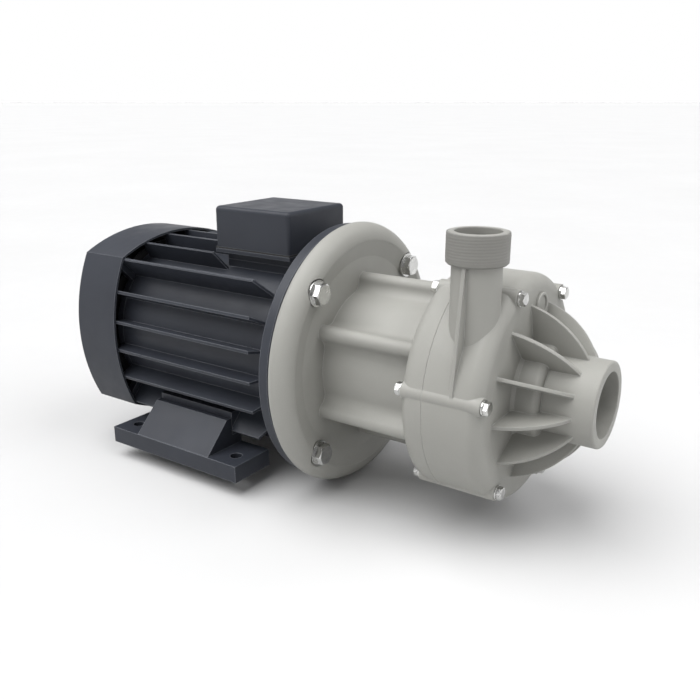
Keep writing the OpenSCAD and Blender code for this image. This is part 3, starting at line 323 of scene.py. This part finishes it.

# %% [markdown]
# Lantern, casing and ports are moulded from a warm grey plastic.
# Filled plastic is matte, with a fine grain and slow changes of tone where the melt flowed.
# The thread on the discharge is darker: a painted shade for the shading in its grooves.
# One recipe makes both, so they still look like one moulding.

# %% Moulded grey plastic
# Colour of the painted shade in corners.
PLASTIC_SHADE = (0.15, 0.147, 0.132)
PLASTIC_FLOW = 9.0
PLASTIC_GRAIN = 900.0
PLASTIC_RELIEF = 1100.0
PLASTIC_GLOSS_CLOUD = 45.0
PLASTIC_ROUGH = (0.50, 0.64)
GRAIN_MOST = 0.35


def plastic_finish(name, dark, light, edge_highlight, shade_reach):
    """Slow flow marks, a fine grain, painted shade in corners and a painted highlight on edges over a matte
    base.
    """
    finish, tree, shader = new_finish(name)
    flow = two_tone(tree, noise(tree, PLASTIC_FLOW), dark, light)
    grain_amount = spread(tree, noise(tree, PLASTIC_GRAIN, FINE_DETAIL), 0.0, GRAIN_MOST)
    grained = blend_colour(tree, grain_amount, flow, dark)
    # Corners are darkened by painted shade.
    corner_shaded = blend_colour(tree, painted_shade(tree, shade_reach), grained, PLASTIC_SHADE)
    # Edges are mixed towards a paler tone, which is a painted highlight.
    painted_edge_highlight = blend_colour(tree, edges(tree, radius=0.0014, low=0.86, high=0.99), corner_shaded, edge_highlight)
    tree.links.new(painted_edge_highlight, shader.inputs["Base Color"])
    gloss = spread(tree, noise(tree, PLASTIC_GLOSS_CLOUD), *PLASTIC_ROUGH)
    tree.links.new(gloss, shader.inputs["Roughness"])
    grit = noise(tree, PLASTIC_RELIEF, FINE_DETAIL)
    relief(tree, shader, grit, strength=0.08, distance=0.0003, radius=0.0016)
    print("finish made:", name)
    return finish


# Each plastic gets a paler tone for its edges, a painted highlight, and a reach for the painted shade in its
# corners.
plastic = plastic_finish("moulded_grey_plastic", dark=(0.245, 0.243, 0.224), light=(0.285, 0.283, 0.261),
                         edge_highlight=(0.34, 0.338, 0.318), shade_reach=0.018)
# The darker copy of the plastic for the thread is a painted shade for its grooves.
shaded_thread_plastic = plastic_finish("thread_painted_shade_plastic", dark=(0.16, 0.158, 0.145),
                                  light=(0.185, 0.182, 0.168), edge_highlight=(0.22, 0.217, 0.203), shade_reach=0.004)

# %% [markdown]
# Bolts, nuts and washers are bright stainless steel.
# Grinding and rolling leave fine lines round a shaft or core, so the noise of those two is stretched.
# Bolts and castings have an even grain, and in every metal the noise drives the roughness too.
# The same recipe with other tones gives ground shafts, iron cores, cast alloy and brass.

# %% Bare metals
ACROSS_SHAFT = (12.0, 1.0, 1.0)
ROUGH_LESS = 0.06
ROUGH_MORE = 0.08
METAL_BUMP = 0.06


def metal_finish(name, dark, light, rough, stretch, line_scale, radius, bump=METAL_BUMP):
    """A bare metal: fine lines or grain change its tone, its roughness and its relief."""
    finish, tree, shader = new_finish(name)
    lines = noise(tree, line_scale, LINE_DETAIL, stretch)
    tree.links.new(two_tone(tree, lines, dark, light), shader.inputs["Base Color"])
    gloss = spread(tree, lines, rough - ROUGH_LESS, rough + ROUGH_MORE)
    tree.links.new(gloss, shader.inputs["Roughness"])
    relief(tree, shader, lines, strength=bump, distance=0.0002, radius=radius)
    shader.inputs["Metallic"].default_value = 1.0
    print("finish made:", name)
    return finish


stainless = metal_finish("bright_stainless", dark=(0.52, 0.52, 0.51), light=(0.68, 0.68, 0.66),
                         rough=0.20, stretch=EVEN, line_scale=160.0, radius=0.0004, bump=0.012)
ground = metal_finish("ground_steel", dark=(0.42, 0.43, 0.44), light=(0.56, 0.57, 0.58),
                      rough=0.26, stretch=ACROSS_SHAFT, line_scale=120.0, radius=0.0004)
iron = metal_finish("core_iron", dark=(0.22, 0.22, 0.23), light=(0.34, 0.34, 0.35),
                    rough=0.48, stretch=ACROSS_SHAFT, line_scale=170.0, radius=0.0005)
alloy = metal_finish("cast_alloy", dark=(0.52, 0.53, 0.54), light=(0.66, 0.67, 0.68),
                     rough=0.42, stretch=EVEN, line_scale=90.0, radius=0.0006)
brass = metal_finish("terminal_brass", dark=(0.55, 0.38, 0.14), light=(0.70, 0.52, 0.22),
                     rough=0.28, stretch=EVEN, line_scale=300.0, radius=0.0003)

# %% [markdown]
# Inside the motor the copper coils are dipped in varnish, and magnets and carbon parts are nearly black.
# Each gets its own grain, because the inside is seen when the part is opened in a drawing or a cutaway.

# %% Finishes of the hidden pieces
CLOUD_SCALE = 18.0
SPECKLE_MOST = 0.4
ROUGH_SWING = 0.07


def moulded_finish(name, dark, light, grain_scale, rough, bump, radius, coat=0.0):
    """A non-metal with a grain that changes tone, roughness and relief."""
    finish, tree, shader = new_finish(name)
    grain = noise(tree, grain_scale, LINE_DETAIL)
    base = two_tone(tree, noise(tree, CLOUD_SCALE), dark, light)
    speckled = blend_colour(tree, spread(tree, grain, 0.0, SPECKLE_MOST), base, dark)
    tree.links.new(speckled, shader.inputs["Base Color"])
    gloss = spread(tree, grain, rough - ROUGH_SWING, rough + ROUGH_SWING)
    tree.links.new(gloss, shader.inputs["Roughness"])
    relief(tree, shader, grain, strength=bump, distance=0.0004, radius=radius)
    shader.inputs["Coat Weight"].default_value = coat
    print("finish made:", name)
    return finish


black = moulded_finish("black_moulding", dark=(0.012, 0.012, 0.013), light=(0.022, 0.022, 0.024),
                       grain_scale=800.0, rough=0.50, bump=0.10, radius=0.0006)
rubber = moulded_finish("black_rubber", dark=(0.010, 0.010, 0.010), light=(0.018, 0.018, 0.018),
                        grain_scale=500.0, rough=0.72, bump=0.14, radius=0.0005)
carbon = moulded_finish("filled_carbon", dark=(0.014, 0.014, 0.016), light=(0.030, 0.030, 0.033),
                        grain_scale=420.0, rough=0.44, bump=0.16, radius=0.0005)
magnet = moulded_finish("sintered_magnet", dark=(0.020, 0.020, 0.022), light=(0.045, 0.045, 0.048),
                        grain_scale=260.0, rough=0.40, bump=0.12, radius=0.0004)
ceramic = moulded_finish("white_ceramic", dark=(0.62, 0.60, 0.55), light=(0.76, 0.74, 0.69),
                         grain_scale=300.0, rough=0.22, bump=0.03, radius=0.0004, coat=0.3)
copper = moulded_finish("varnished_copper", dark=(0.24, 0.085, 0.030), light=(0.40, 0.150, 0.055),
                        grain_scale=340.0, rough=0.34, bump=0.22, radius=0.0006, coat=0.5)

# %% [markdown]
# The record names a material slot for every solid, so one table from slot to finish dresses them all.
# A solid that is added later gets its finish from the same table.

# %% Give every solid its finish
FINISH_OF = {
    "motor_paint": paint, "pump_plastic": plastic, "stainless": stainless, "shaft_steel": ground,
    "black_plastic": black, "rubber": rubber, "copper": copper, "brass": brass, "core_iron": iron,
    "cage_alloy": alloy, "magnet": magnet, "carbon": carbon, "ceramic": ceramic,
}
for entry in frame["record"]["subparts"]:
    for place in nodes[entry["node"]].material_slots:
        place.material = FINISH_OF[entry["material_slot"]]

# %% [markdown]
# Bolts and screws stand on circles round the shaft, at stations counted from the flange joint.
# The frame already holds plain solids for them, so their stations are measured there and not typed in.

# %% Places along the shaft
SHAFT_Z = 0.112
FLANGE_X = 0.140
mm = 0.001


def span_along_shaft(node):
    """Lowest and highest station of a node, counted from the flange joint."""
    low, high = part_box(node)
    return low[0] - FLANGE_X, high[0] - FLANGE_X


def circle_place(circle_r, angle):
    """Sideways place and height of a point on a circle round the shaft, from the near side upwards."""
    lift = np.radians(angle)
    return -circle_r * np.cos(lift), SHAFT_Z + circle_r * np.sin(lift)


flange_tail, flange_top = span_along_shaft("flange_bolts")
casing_tail, casing_top = span_along_shaft("casing_bolts")
flange_seat = span_along_shaft("flange_washers")[1]
casing_seat = span_along_shaft("casing_washers")[1]
print("bolt heads sit", round(flange_seat, 5), "and", round(casing_seat, 5), "in front of the flange joint")

# %% [markdown]
# Most new pieces are turned shapes: a section of radius and station goes once round an axis.
# The screw modifier could do that too, but arrays of points place every copy of a bolt at once.

# %% Turned shapes
ROUND_STEPS = 96
FULL_TURN = np.linspace(0.0, 2 * np.pi, ROUND_STEPS, endpoint=False)


def carried_round(section_r, section_s, around=FULL_TURN):
    """Radius, station and turn of every point of a section that goes once round an axis."""
    radius, turn = np.meshgrid(section_r, around, indexing="ij")
    station = np.broadcast_to(np.asarray(section_s)[:, None], radius.shape)
    return radius, station, turn


def on_bolt_circle(radius, station, turn, circle_r, angle):
    """Places a turned skin round an axis that runs along the shaft, through a point of a circle."""
    middle_y, middle_z = circle_place(circle_r, angle)
    x = FLANGE_X + station + np.zeros_like(turn)
    y = middle_y + radius * np.cos(turn)
    z = middle_z + radius * np.sin(turn)
    return np.stack([x, y, z], axis=-1).reshape(-1, 3)


def turned_piece(name, section, circle_r, angle, material):
    """One piece from a section carried round an axis that stands on a circle round the shaft."""
    skin = carried_round(*section)
    points = on_bolt_circle(*skin, circle_r, angle)
    return mesh_piece(name, points, grid_faces(*skin[0].shape, True), material)


print("steps round a turned shape:", ROUND_STEPS)

# %% [markdown]
# A machine bolt has six flats and a turned chamfer that trims the corners of its head.
# Seen from above, the outline is a hexagon whose radius swings between flat and corner.
# The chamfer is a cone, so the height of the rim falls as the outline leaves the inner circle.
# Carrying one profile round the bolt axis gives head, shank and tail as one closed skin.

# %% Bolts and nuts as turned hexagons
SIXTH = np.pi / 3
CHAMFER_SLOPE = np.tan(np.radians(30.0))
BOLT_EDGE = 0.5 * mm


def hexagon_radius(turn, corner_r):
    """Distance from the middle to the rim of a hexagon, at each angle of the turn."""
    leaning = np.mod(turn, SIXTH) - SIXTH / 2
    return corner_r * np.cos(SIXTH / 2) / np.cos(leaning)


def hex_outline(corner_r):
    """The hexagon's radius at each angle, the circle where the chamfer ends and the chamfer's drop."""
    rim = hexagon_radius(FULL_TURN, corner_r)
    inner = np.full_like(FULL_TURN, corner_r * np.cos(SIXTH / 2) - BOLT_EDGE)
    return rim, inner, (rim - inner) * CHAMFER_SLOPE


def hex_bolt(seat, top, corner_r, shank_r, tail):
    """Rows from the tail to the head: shank circles, two hexagons with the cone's height, then the top."""
    rim, inner, drop = hex_outline(corner_r)
    flat = np.ones_like(FULL_TURN)
    radius = np.stack([0 * flat, (shank_r - BOLT_EDGE) * flat, shank_r * flat, shank_r * flat, rim, rim,
                       inner, 0 * flat])
    station = np.stack([tail * flat, tail * flat, (tail + BOLT_EDGE) * flat, seat * flat, seat * flat,
                        top - drop, top * flat, top * flat])
    return radius, station, np.broadcast_to(FULL_TURN, radius.shape)


def hex_nut(back, front, corner_r, hole_r):
    """Rows round a nut: the hole, a chamfered face, the six flats, the other face and the hole again."""
    rim, inner, drop = hex_outline(corner_r)
    flat = np.ones_like(FULL_TURN)
    radius = np.stack([hole_r * flat, inner, rim, rim, inner, hole_r * flat, hole_r * flat])
    station = np.stack([back * flat, back * flat, back + drop, front - drop, front * flat, front * flat,
                        back * flat])
    return radius, station, np.broadcast_to(FULL_TURN, radius.shape)


print("flat over corner of a hexagon:", round(float(hexagon_radius(SIXTH / 2, 1.0)), 4))

# %% [markdown]
# Each set of bolts is one piece with a copy at every angle, as the frame has one node for each set.
# The piece stands for that node, which then serves only for collision.

# %% Sets of bolts and nuts
FLANGE_ANGLES = [45, 135, 225, 315]
CASING_ANGLES = [8, 68, 128, 188, 248, 308]
FLANGE_CIRCLE = 107.5 * mm
CASING_CIRCLE = 93.8 * mm
FLANGE_CORNER_R = 10.4 * mm
FLANGE_SHANK_R = 6.0 * mm
CASING_CORNER_R = 5.8 * mm
CASING_SHANK_R = 3.0 * mm
NUT_HOLE_R = 3.05 * mm


def ring_of_copies(name, skin, circle_r, angles, node):
    """One piece with a copy of a turned skin at each angle, standing for a node."""
    radius, station, turn = skin
    rows, columns = radius.shape
    points = np.concatenate([on_bolt_circle(radius, station, turn, circle_r, angle) for angle in angles])
    starts = np.arange(len(angles)) * rows * columns
    faces = np.concatenate([grid_faces(rows, columns, True, start) for start in starts])
    piece = mesh_piece(name, points, faces, stainless)
    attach(piece, "pump_body")
    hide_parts(node)


flange_bolt = hex_bolt(flange_seat, flange_top, FLANGE_CORNER_R, FLANGE_SHANK_R, flange_tail)
casing_bolt = hex_bolt(casing_seat, casing_top, CASING_CORNER_R, CASING_SHANK_R, casing_tail)
casing_nut = hex_nut(*span_along_shaft("casing_nuts"), CASING_CORNER_R, NUT_HOLE_R)
ring_of_copies("flange_hex_bolts", flange_bolt, FLANGE_CIRCLE, FLANGE_ANGLES, "flange_bolts")
ring_of_copies("casing_hex_bolts", casing_bolt, CASING_CIRCLE, CASING_ANGLES, "casing_bolts")
ring_of_copies("casing_hex_nuts", casing_nut, CASING_CIRCLE, CASING_ANGLES, "casing_nuts")

# %% [markdown]
# The collar of the discharge has a rounded foot in the solid, but the moulded one ends in a crisp lip.
# A thin sleeve gives it that lip: its outside is straight, and its inside hugs the rounded collar.
# The profile is one closed row of points, which goes down the outside and comes back up the inside.

# %% Sleeve of the discharge collar
COLLAR_R = 23.9 * mm
COLLAR_ROUND = 4.0 * mm
COLLAR_EDGE = 1.0 * mm
COLLAR_LOW = 230.0 * mm
COLLAR_HIGH = 254.8 * mm
SLEEVE_FIT = 0.02 * mm
SLEEVE_T = 0.70 * mm
SLEEVE_SHORT = 0.4 * mm
SLEEVE_LONG = 0.5 * mm
SLEEVE_TOP = COLLAR_HIGH - SLEEVE_SHORT
SLEEVE_FOOT = COLLAR_LOW - SLEEVE_LONG
SLEEVE_LIP = 0.3 * mm
FOOT_BEVEL = 1.4 * mm
FOOT_START = -75.0
FOOT_STEPS = 12
FOOT_ARC = np.radians(np.linspace(FOOT_START, 0.0, FOOT_STEPS))
THREAD_ROWS = 150


def sleeve_profile():
    """Radius and height down the straight outside, under the foot and up along the collar's own skin."""
    outside = COLLAR_R + SLEEVE_T
    down = np.linspace(SLEEVE_TOP - SLEEVE_LIP, SLEEVE_FOOT + FOOT_BEVEL, THREAD_ROWS)
    arc_r = COLLAR_R - COLLAR_ROUND + (COLLAR_ROUND + SLEEVE_FIT) * np.cos(FOOT_ARC)
    arc_z = COLLAR_LOW + COLLAR_ROUND + (COLLAR_ROUND + SLEEVE_FIT) * np.sin(FOOT_ARC)
    edge_z = COLLAR_HIGH - COLLAR_EDGE
    mouth_r = COLLAR_R + 2 * SLEEVE_FIT - (SLEEVE_TOP - edge_z)
    radius = np.concatenate([[mouth_r, outside - SLEEVE_LIP], np.full(THREAD_ROWS, outside),
                             [outside - FOOT_BEVEL, arc_r[0]], arc_r, [COLLAR_R + SLEEVE_FIT, mouth_r]])
    height = np.concatenate([[SLEEVE_TOP, SLEEVE_TOP], down, [SLEEVE_FOOT, SLEEVE_FOOT], arc_z,
                             [edge_z, SLEEVE_TOP]])
    return radius, height


profile_r, profile_z = sleeve_profile()
print("sleeve profile has", len(profile_r), "points")

# %% [markdown]
# The sleeve carries a pipe thread with eleven turns to the inch.
# A thread is one ridge that climbs as it goes round, so its wave runs with height over pitch less turn.
# The ridge is a low rounded wave, and it fades out at both ends of the collar as a moulded thread does.

# %% Pipe thread on the sleeve
PITCH = 2.309 * mm
THREAD_STAND = 0.24 * mm
THREAD_LOW = 232.5 * mm
THREAD_HIGH = 253.4 * mm
THREAD_FADE = 1.2 * mm
DISCHARGE_X = 303.0 * mm
DISCHARGE_Y = -63.6 * mm


def pipe_thread():
    """Radius is the sleeve's plus, on its outside, a wave of height over pitch less turn that fades out."""
    sleeve_r, height, around = carried_round(profile_r, profile_z)
    wave = np.sqrt((1 + np.cos(2 * np.pi * height / PITCH - around)) / 2)
    fade = np.clip(np.minimum(height - THREAD_LOW, THREAD_HIGH - height) / THREAD_FADE, 0.0, 1.0)
    outside = sleeve_r > COLLAR_R + SLEEVE_T / 2
    radius = sleeve_r + THREAD_STAND * wave * fade * outside
    x = DISCHARGE_X + radius * np.cos(around)
    y = DISCHARGE_Y + radius * np.sin(around)
    return np.stack([x, y, height], axis=-1).reshape(-1, 3), grid_faces(*radius.shape, True)


# The thread wears the darker copy of the plastic, a painted shade.
thread = mesh_piece("discharge_thread", *pipe_thread(), shaded_thread_plastic)
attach(thread, "pump_body")

# %% [markdown]
# Near the top of the casing's face sits a round pocket, and a low cap closes it.
# The cap is a turned shape: a plug in the pocket, a raised rim round it and a sunk disc in the middle.
# Its axis is a line along the shaft through the middle of the pocket.
# Stacked cylinders would do, but one turned section has no hidden faces and takes its bevels along.

# %% Cap in the pocket of the casing
CAP_CIRCLE = 73.0 * mm
CAP_ANGLE = 98.0
CAP_FACE = 188.0 * mm
POCKET_R = 8.5 * mm
POCKET_DEPTH = 3.0 * mm
CAP_FIT = 0.02 * mm
CAP_RIM_R = 11.5 * mm
CAP_RIM_T = 2.6 * mm
CAP_EDGE = 0.6 * mm
CAP_SUNK = 1.4 * mm


def cap_section():
    """Radius and station from the plug's end along the rim's seat, over the rim and into the sunk disc."""
    plug_r = POCKET_R - CAP_FIT
    plug_end = CAP_FACE - POCKET_DEPTH + CAP_FIT
    rim_seat = CAP_FACE + CAP_FIT
    rim_top = CAP_FACE + CAP_RIM_T
    radius = np.array([0.0, plug_r, plug_r, CAP_RIM_R, CAP_RIM_R, CAP_RIM_R - CAP_EDGE,
                       POCKET_R + CAP_EDGE, POCKET_R, POCKET_R, 0.0])
    station = np.array([plug_end, plug_end, rim_seat, rim_seat, rim_top - CAP_EDGE, rim_top,
                        rim_top, rim_top - CAP_EDGE, rim_top - CAP_SUNK, rim_top - CAP_SUNK])
    return radius, station


cap_piece = turned_piece("casing_pocket_cap", cap_section(), CAP_CIRCLE, CAP_ANGLE, plastic)
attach(cap_piece, "pump_body")

# %% [markdown]
# Behind the grille of the cowl turns a moulded cooling fan with straight blades.
# A flat ring joins the free edges of the blades, which stiffens them and keeps the air from spilling over.
# The black ring is also a dark piece that closes the view through the cowl's corner, where there is only
# shade.
# Its section is a rectangle with rounded corners, carried once round the shaft.
# A torus would look like a wire, and a moulded ring is flat.

# %% Ring on the blades of the fan
FAN_RING_IN_R = 69.0 * mm
FAN_RING_T = 2.0 * mm
FAN_RING_ROUND = 0.6 * mm
CORNER_STEPS = 5
QUARTER = np.linspace(0.0, 90.0, CORNER_STEPS)
CORNER_STARTS = np.array([[0.0], [90.0], [180.0], [270.0]])
fan_back = span_along_shaft("cooling_fan")[0]
fan_blade_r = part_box("cooling_fan")[1][1]


def rounded_section(inside, outside, low, high, corner):
    """Closed row of points: four quarter circles at the corners of a rectangle, joined by straight lines."""
    swing = np.radians(QUARTER + CORNER_STARTS)
    middle_r = np.array([[outside - corner], [inside + corner], [inside + corner], [outside - corner]])
    middle_s = np.array([[high - corner], [high - corner], [low + corner], [low + corner]])
    radius = (middle_r + corner * np.cos(swing)).ravel()
    station = (middle_s + corner * np.sin(swing)).ravel()
    return np.append(radius, radius[0]), np.append(station, station[0])


ring_section = rounded_section(FAN_RING_IN_R, fan_blade_r, fan_back, fan_back + FAN_RING_T, FAN_RING_ROUND)
# The black ring also closes the view through the cowl, standing in for the shade there.
ring_piece = turned_piece("fan_blade_ring", ring_section, 0.0, 0.0, black)
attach(ring_piece, "motor_rotor")

# %% [markdown]
# Four pan-head screws hold the cowl, each with a cross recess for the driver.
# The head is a square grid bent into a disc, so its lines run along the arms of the cross.
# The height is a low dome with the cross pressed into it.
# Cutting the cross out with a boolean would work too, but it leaves long thin faces that shade badly.

# %% Head of a cowl screw
SCREW_R = 4.5 * mm
SCREW_T = 2.5 * mm
DOME_RIM = 0.55
CROSS_LINES = 29
CROSS_WIDE = 0.14
CROSS_LONG = 0.56
CROSS_MARGIN = 0.01
CROSS_DEEP = 1.3 * mm


def cross_head():
    """Disc from a square grid; height is a dome less a cross, both as shares of the head's size."""
    rims = [-CROSS_LONG, CROSS_LONG, -CROSS_WIDE, CROSS_WIDE]
    lines = np.sort(np.concatenate([np.linspace(-1.0, 1.0, CROSS_LINES), rims]))
    u, v = np.meshgrid(lines, lines, indexing="ij")
    across = SCREW_R * u * np.sqrt(1 - v * v / 2)
    upward = SCREW_R * v * np.sqrt(1 - u * u / 2)
    rho = np.hypot(across, upward) / SCREW_R
    long_way = CROSS_LONG - CROSS_MARGIN
    short_way = CROSS_WIDE - CROSS_MARGIN
    arm_u = (np.abs(u) < long_way) & (np.abs(v) < short_way)
    arm_v = (np.abs(v) < long_way) & (np.abs(u) < short_way)
    dome = SCREW_T * (DOME_RIM + (1 - DOME_RIM) * np.sqrt(np.clip(1 - rho ** 2, 0.0, 1.0)))
    return across, upward, dome - CROSS_DEEP * (arm_u | arm_v)


print("lines across a screw head:", len(cross_head()[0]))

# %% [markdown]
# A screw is its head, the flat seat under it, the strip that joins the two rims, and a plain shank.
# The rim of the grid is walked once round, so the strip meets head and seat without a gap.

# %% Skin of a cowl screw
SCREW_SHANK_R = 2.45 * mm
SCREW_CIRCLE = 100.0 * mm
SHANK_TURN = FULL_TURN[::3]
screw_back, screw_tip = span_along_shaft("cowl_screws")
screw_seat = screw_back + SCREW_T


def screw_head(angle):
    """Head grid, its flat seat and the strip between them, placed on the back of the cowl."""
    across, upward, high = cross_head()
    count = len(high)
    middle_y, middle_z = circle_place(SCREW_CIRCLE, angle)
    top = np.stack([FLANGE_X + screw_seat - high, middle_y + across, middle_z + upward], -1)
    seat = np.stack([np.full_like(high, FLANGE_X + screw_seat), middle_y + across, middle_z + upward], -1)
    whole = count * count
    ring = np.concatenate([np.arange(count), np.arange(1, count) * count + count - 1,
                           whole - 2 - np.arange(count - 1), (count - 2 - np.arange(count - 2)) * count])
    after = np.roll(ring, -1)
    skirt = np.stack([ring, after, after + whole, ring + whole], -1)
    under = grid_faces(count, count, False, whole)[:, ::-1]
    faces = np.concatenate([grid_faces(count, count, False), under, skirt])
    return np.concatenate([top.reshape(-1, 3), seat.reshape(-1, 3)]), faces


def screw_shank():
    """Rows along a plain shank with a chamfered tip, closed at both ends."""
    radius = np.array([0.0, SCREW_SHANK_R, SCREW_SHANK_R, SCREW_SHANK_R - BOLT_EDGE, 0.0])
    station = np.array([screw_seat, screw_seat, screw_tip - BOLT_EDGE, screw_tip, screw_tip])
    return carried_round(radius, station, SHANK_TURN)


print("shank of a cowl screw:", round(screw_tip - screw_seat, 5))

# %% [markdown]
# The four screws together are one piece, because they are one node of the frame.
# Each copy counts its corners from where the last one ended, so one mesh holds them all.

# %% Cowl screws
SCREW_ANGLES = [45, 135, 225, 315]

screw_points = []
screw_faces = []
start = 0
shank = screw_shank()
for angle in SCREW_ANGLES:
    head_points, head_faces = screw_head(angle)
    shank_points = on_bolt_circle(*shank, SCREW_CIRCLE, angle)
    shank_faces = grid_faces(*shank[0].shape, True, start + len(head_points))
    screw_points += [head_points, shank_points]
    screw_faces += [head_faces + start, shank_faces]
    start += len(head_points) + len(shank_points)
cowl_heads = mesh_piece("cowl_pan_screws", np.concatenate(screw_points), np.concatenate(screw_faces),
                        stainless)
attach(cowl_heads, "pump_body")
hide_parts("cowl_screws")

# %% [markdown]
# The floor is a wide pale sheet under the lowest edge of the lantern.
# A tiny ripple in its tone keeps it from looking like a flat fill.
# It reaches far past the picture, so no edge of it shows from any side.

# %% Floor
FLOOR_HALF = 60.0
FLOOR_DROP = 0.0004
FLOOR_STEPS = 9
FLOOR_DARK = (0.50, 0.50, 0.50)
FLOOR_LIGHT = (0.52, 0.52, 0.52)
FLOOR_CLOUD = 2.0
FLOOR_GLOSS_CLOUD = 30.0
FLOOR_ROUGH = (0.7, 0.8)

floor_finish, tree, shader = new_finish("pale_floor")
tone = two_tone(tree, noise(tree, FLOOR_CLOUD), FLOOR_DARK, FLOOR_LIGHT)
tree.links.new(tone, shader.inputs["Base Color"])
tree.links.new(spread(tree, noise(tree, FLOOR_GLOSS_CLOUD), *FLOOR_ROUGH), shader.inputs["Roughness"])
steps = np.linspace(-FLOOR_HALF, FLOOR_HALF, FLOOR_STEPS)
floor_y, floor_x = np.meshgrid(steps, steps, indexing="ij")
floor_z = np.full_like(floor_x, cad_low[2] - FLOOR_DROP)
floor_points = np.stack([floor_x, floor_y, floor_z], axis=-1).reshape(-1, 3)
floor = mesh_piece("studio_floor", floor_points, grid_faces(FLOOR_STEPS, FLOOR_STEPS, False), floor_finish)

# %% [markdown]
# A product studio lights its subject from one broad side and lets the other side fall darker.
# A wide sun from above and a little to the left is the key: its edge is soft and leaves no hard highlight.
# A weaker sun from behind on the right draws the upper edges of the ribs.
# A small panel near the suction port gives the bolts something to mirror.
# Suns light the floor evenly as far as the eye goes.

# %% Key, back light and fill
KEY_FROM = (-0.26, -0.34, 0.90)
KEY_WIDTH = np.radians(64.0)
KEY_POWER = 4.4
BACK_FROM = (0.55, 0.25, 0.80)
BACK_WIDTH = np.radians(40.0)
BACK_POWER = 1.3
FILL_PLACE = (1.3, -0.2, 0.9)
FILL_AIM = (0.25, 0.0, 0.1)
FILL_SIZE = 0.9
FILL_WATTS = 2.5
ORIGIN = (0.0, 0.0, 0.0)


def add_light(name, kind, place, aim):
    """A light of one kind at a place, turned to face a point."""
    data = bpy.data.lights.new(name, kind)
    lamp = bpy.data.objects.new(name, data)
    lamp.location = place
    lamp.rotation_euler = (Vector(place) - Vector(aim)).to_track_quat("Z", "Y").to_euler()
    bpy.context.scene.collection.objects.link(lamp)
    return data


def add_sun(name, place, width, power):
    """A sun that shines from a place towards the origin, with a soft disc of some width."""
    sun = add_light(name, "SUN", place, ORIGIN)
    sun.angle = width
    sun.energy = power
    print(name, "power:", sun.energy)


add_sun("key_sun", KEY_FROM, KEY_WIDTH, KEY_POWER)
add_sun("back_sun", BACK_FROM, BACK_WIDTH, BACK_POWER)
fill = add_light("fill_panel", "AREA", FILL_PLACE, FILL_AIM)
fill.size = FILL_SIZE
fill.energy = FILL_WATTS
print("fill watts:", fill.energy)

# %% [markdown]
# The air round the studio is bright near the horizon, like a lit wall, and dim overhead.
# The height of each direction picks the tone, so reflections run from pale at the sides to dark on top.

# %% Studio air
AIR_LOW = (1.0, 1.0, 1.0)
AIR_HIGH = (0.26, 0.26, 0.27)
AIR_EDGE = 0.26
AIR_TOP = 0.34

world = bpy.data.worlds.new("studio_air")
world.use_nodes = True
air = world.node_tree
direction = air.nodes.new("ShaderNodeTexCoord")
parts = air.nodes.new("ShaderNodeSeparateXYZ")
air.links.new(direction.outputs["Generated"], parts.inputs["Vector"])
air_tone = two_tone(air, parts.outputs["Z"], AIR_LOW, AIR_HIGH, AIR_EDGE, AIR_TOP)
air.links.new(air_tone, air.nodes["Background"].inputs["Color"])
bpy.context.scene.world = world
bpy.context.scene.view_settings.view_transform = "Standard"
print("air made:", world.name)
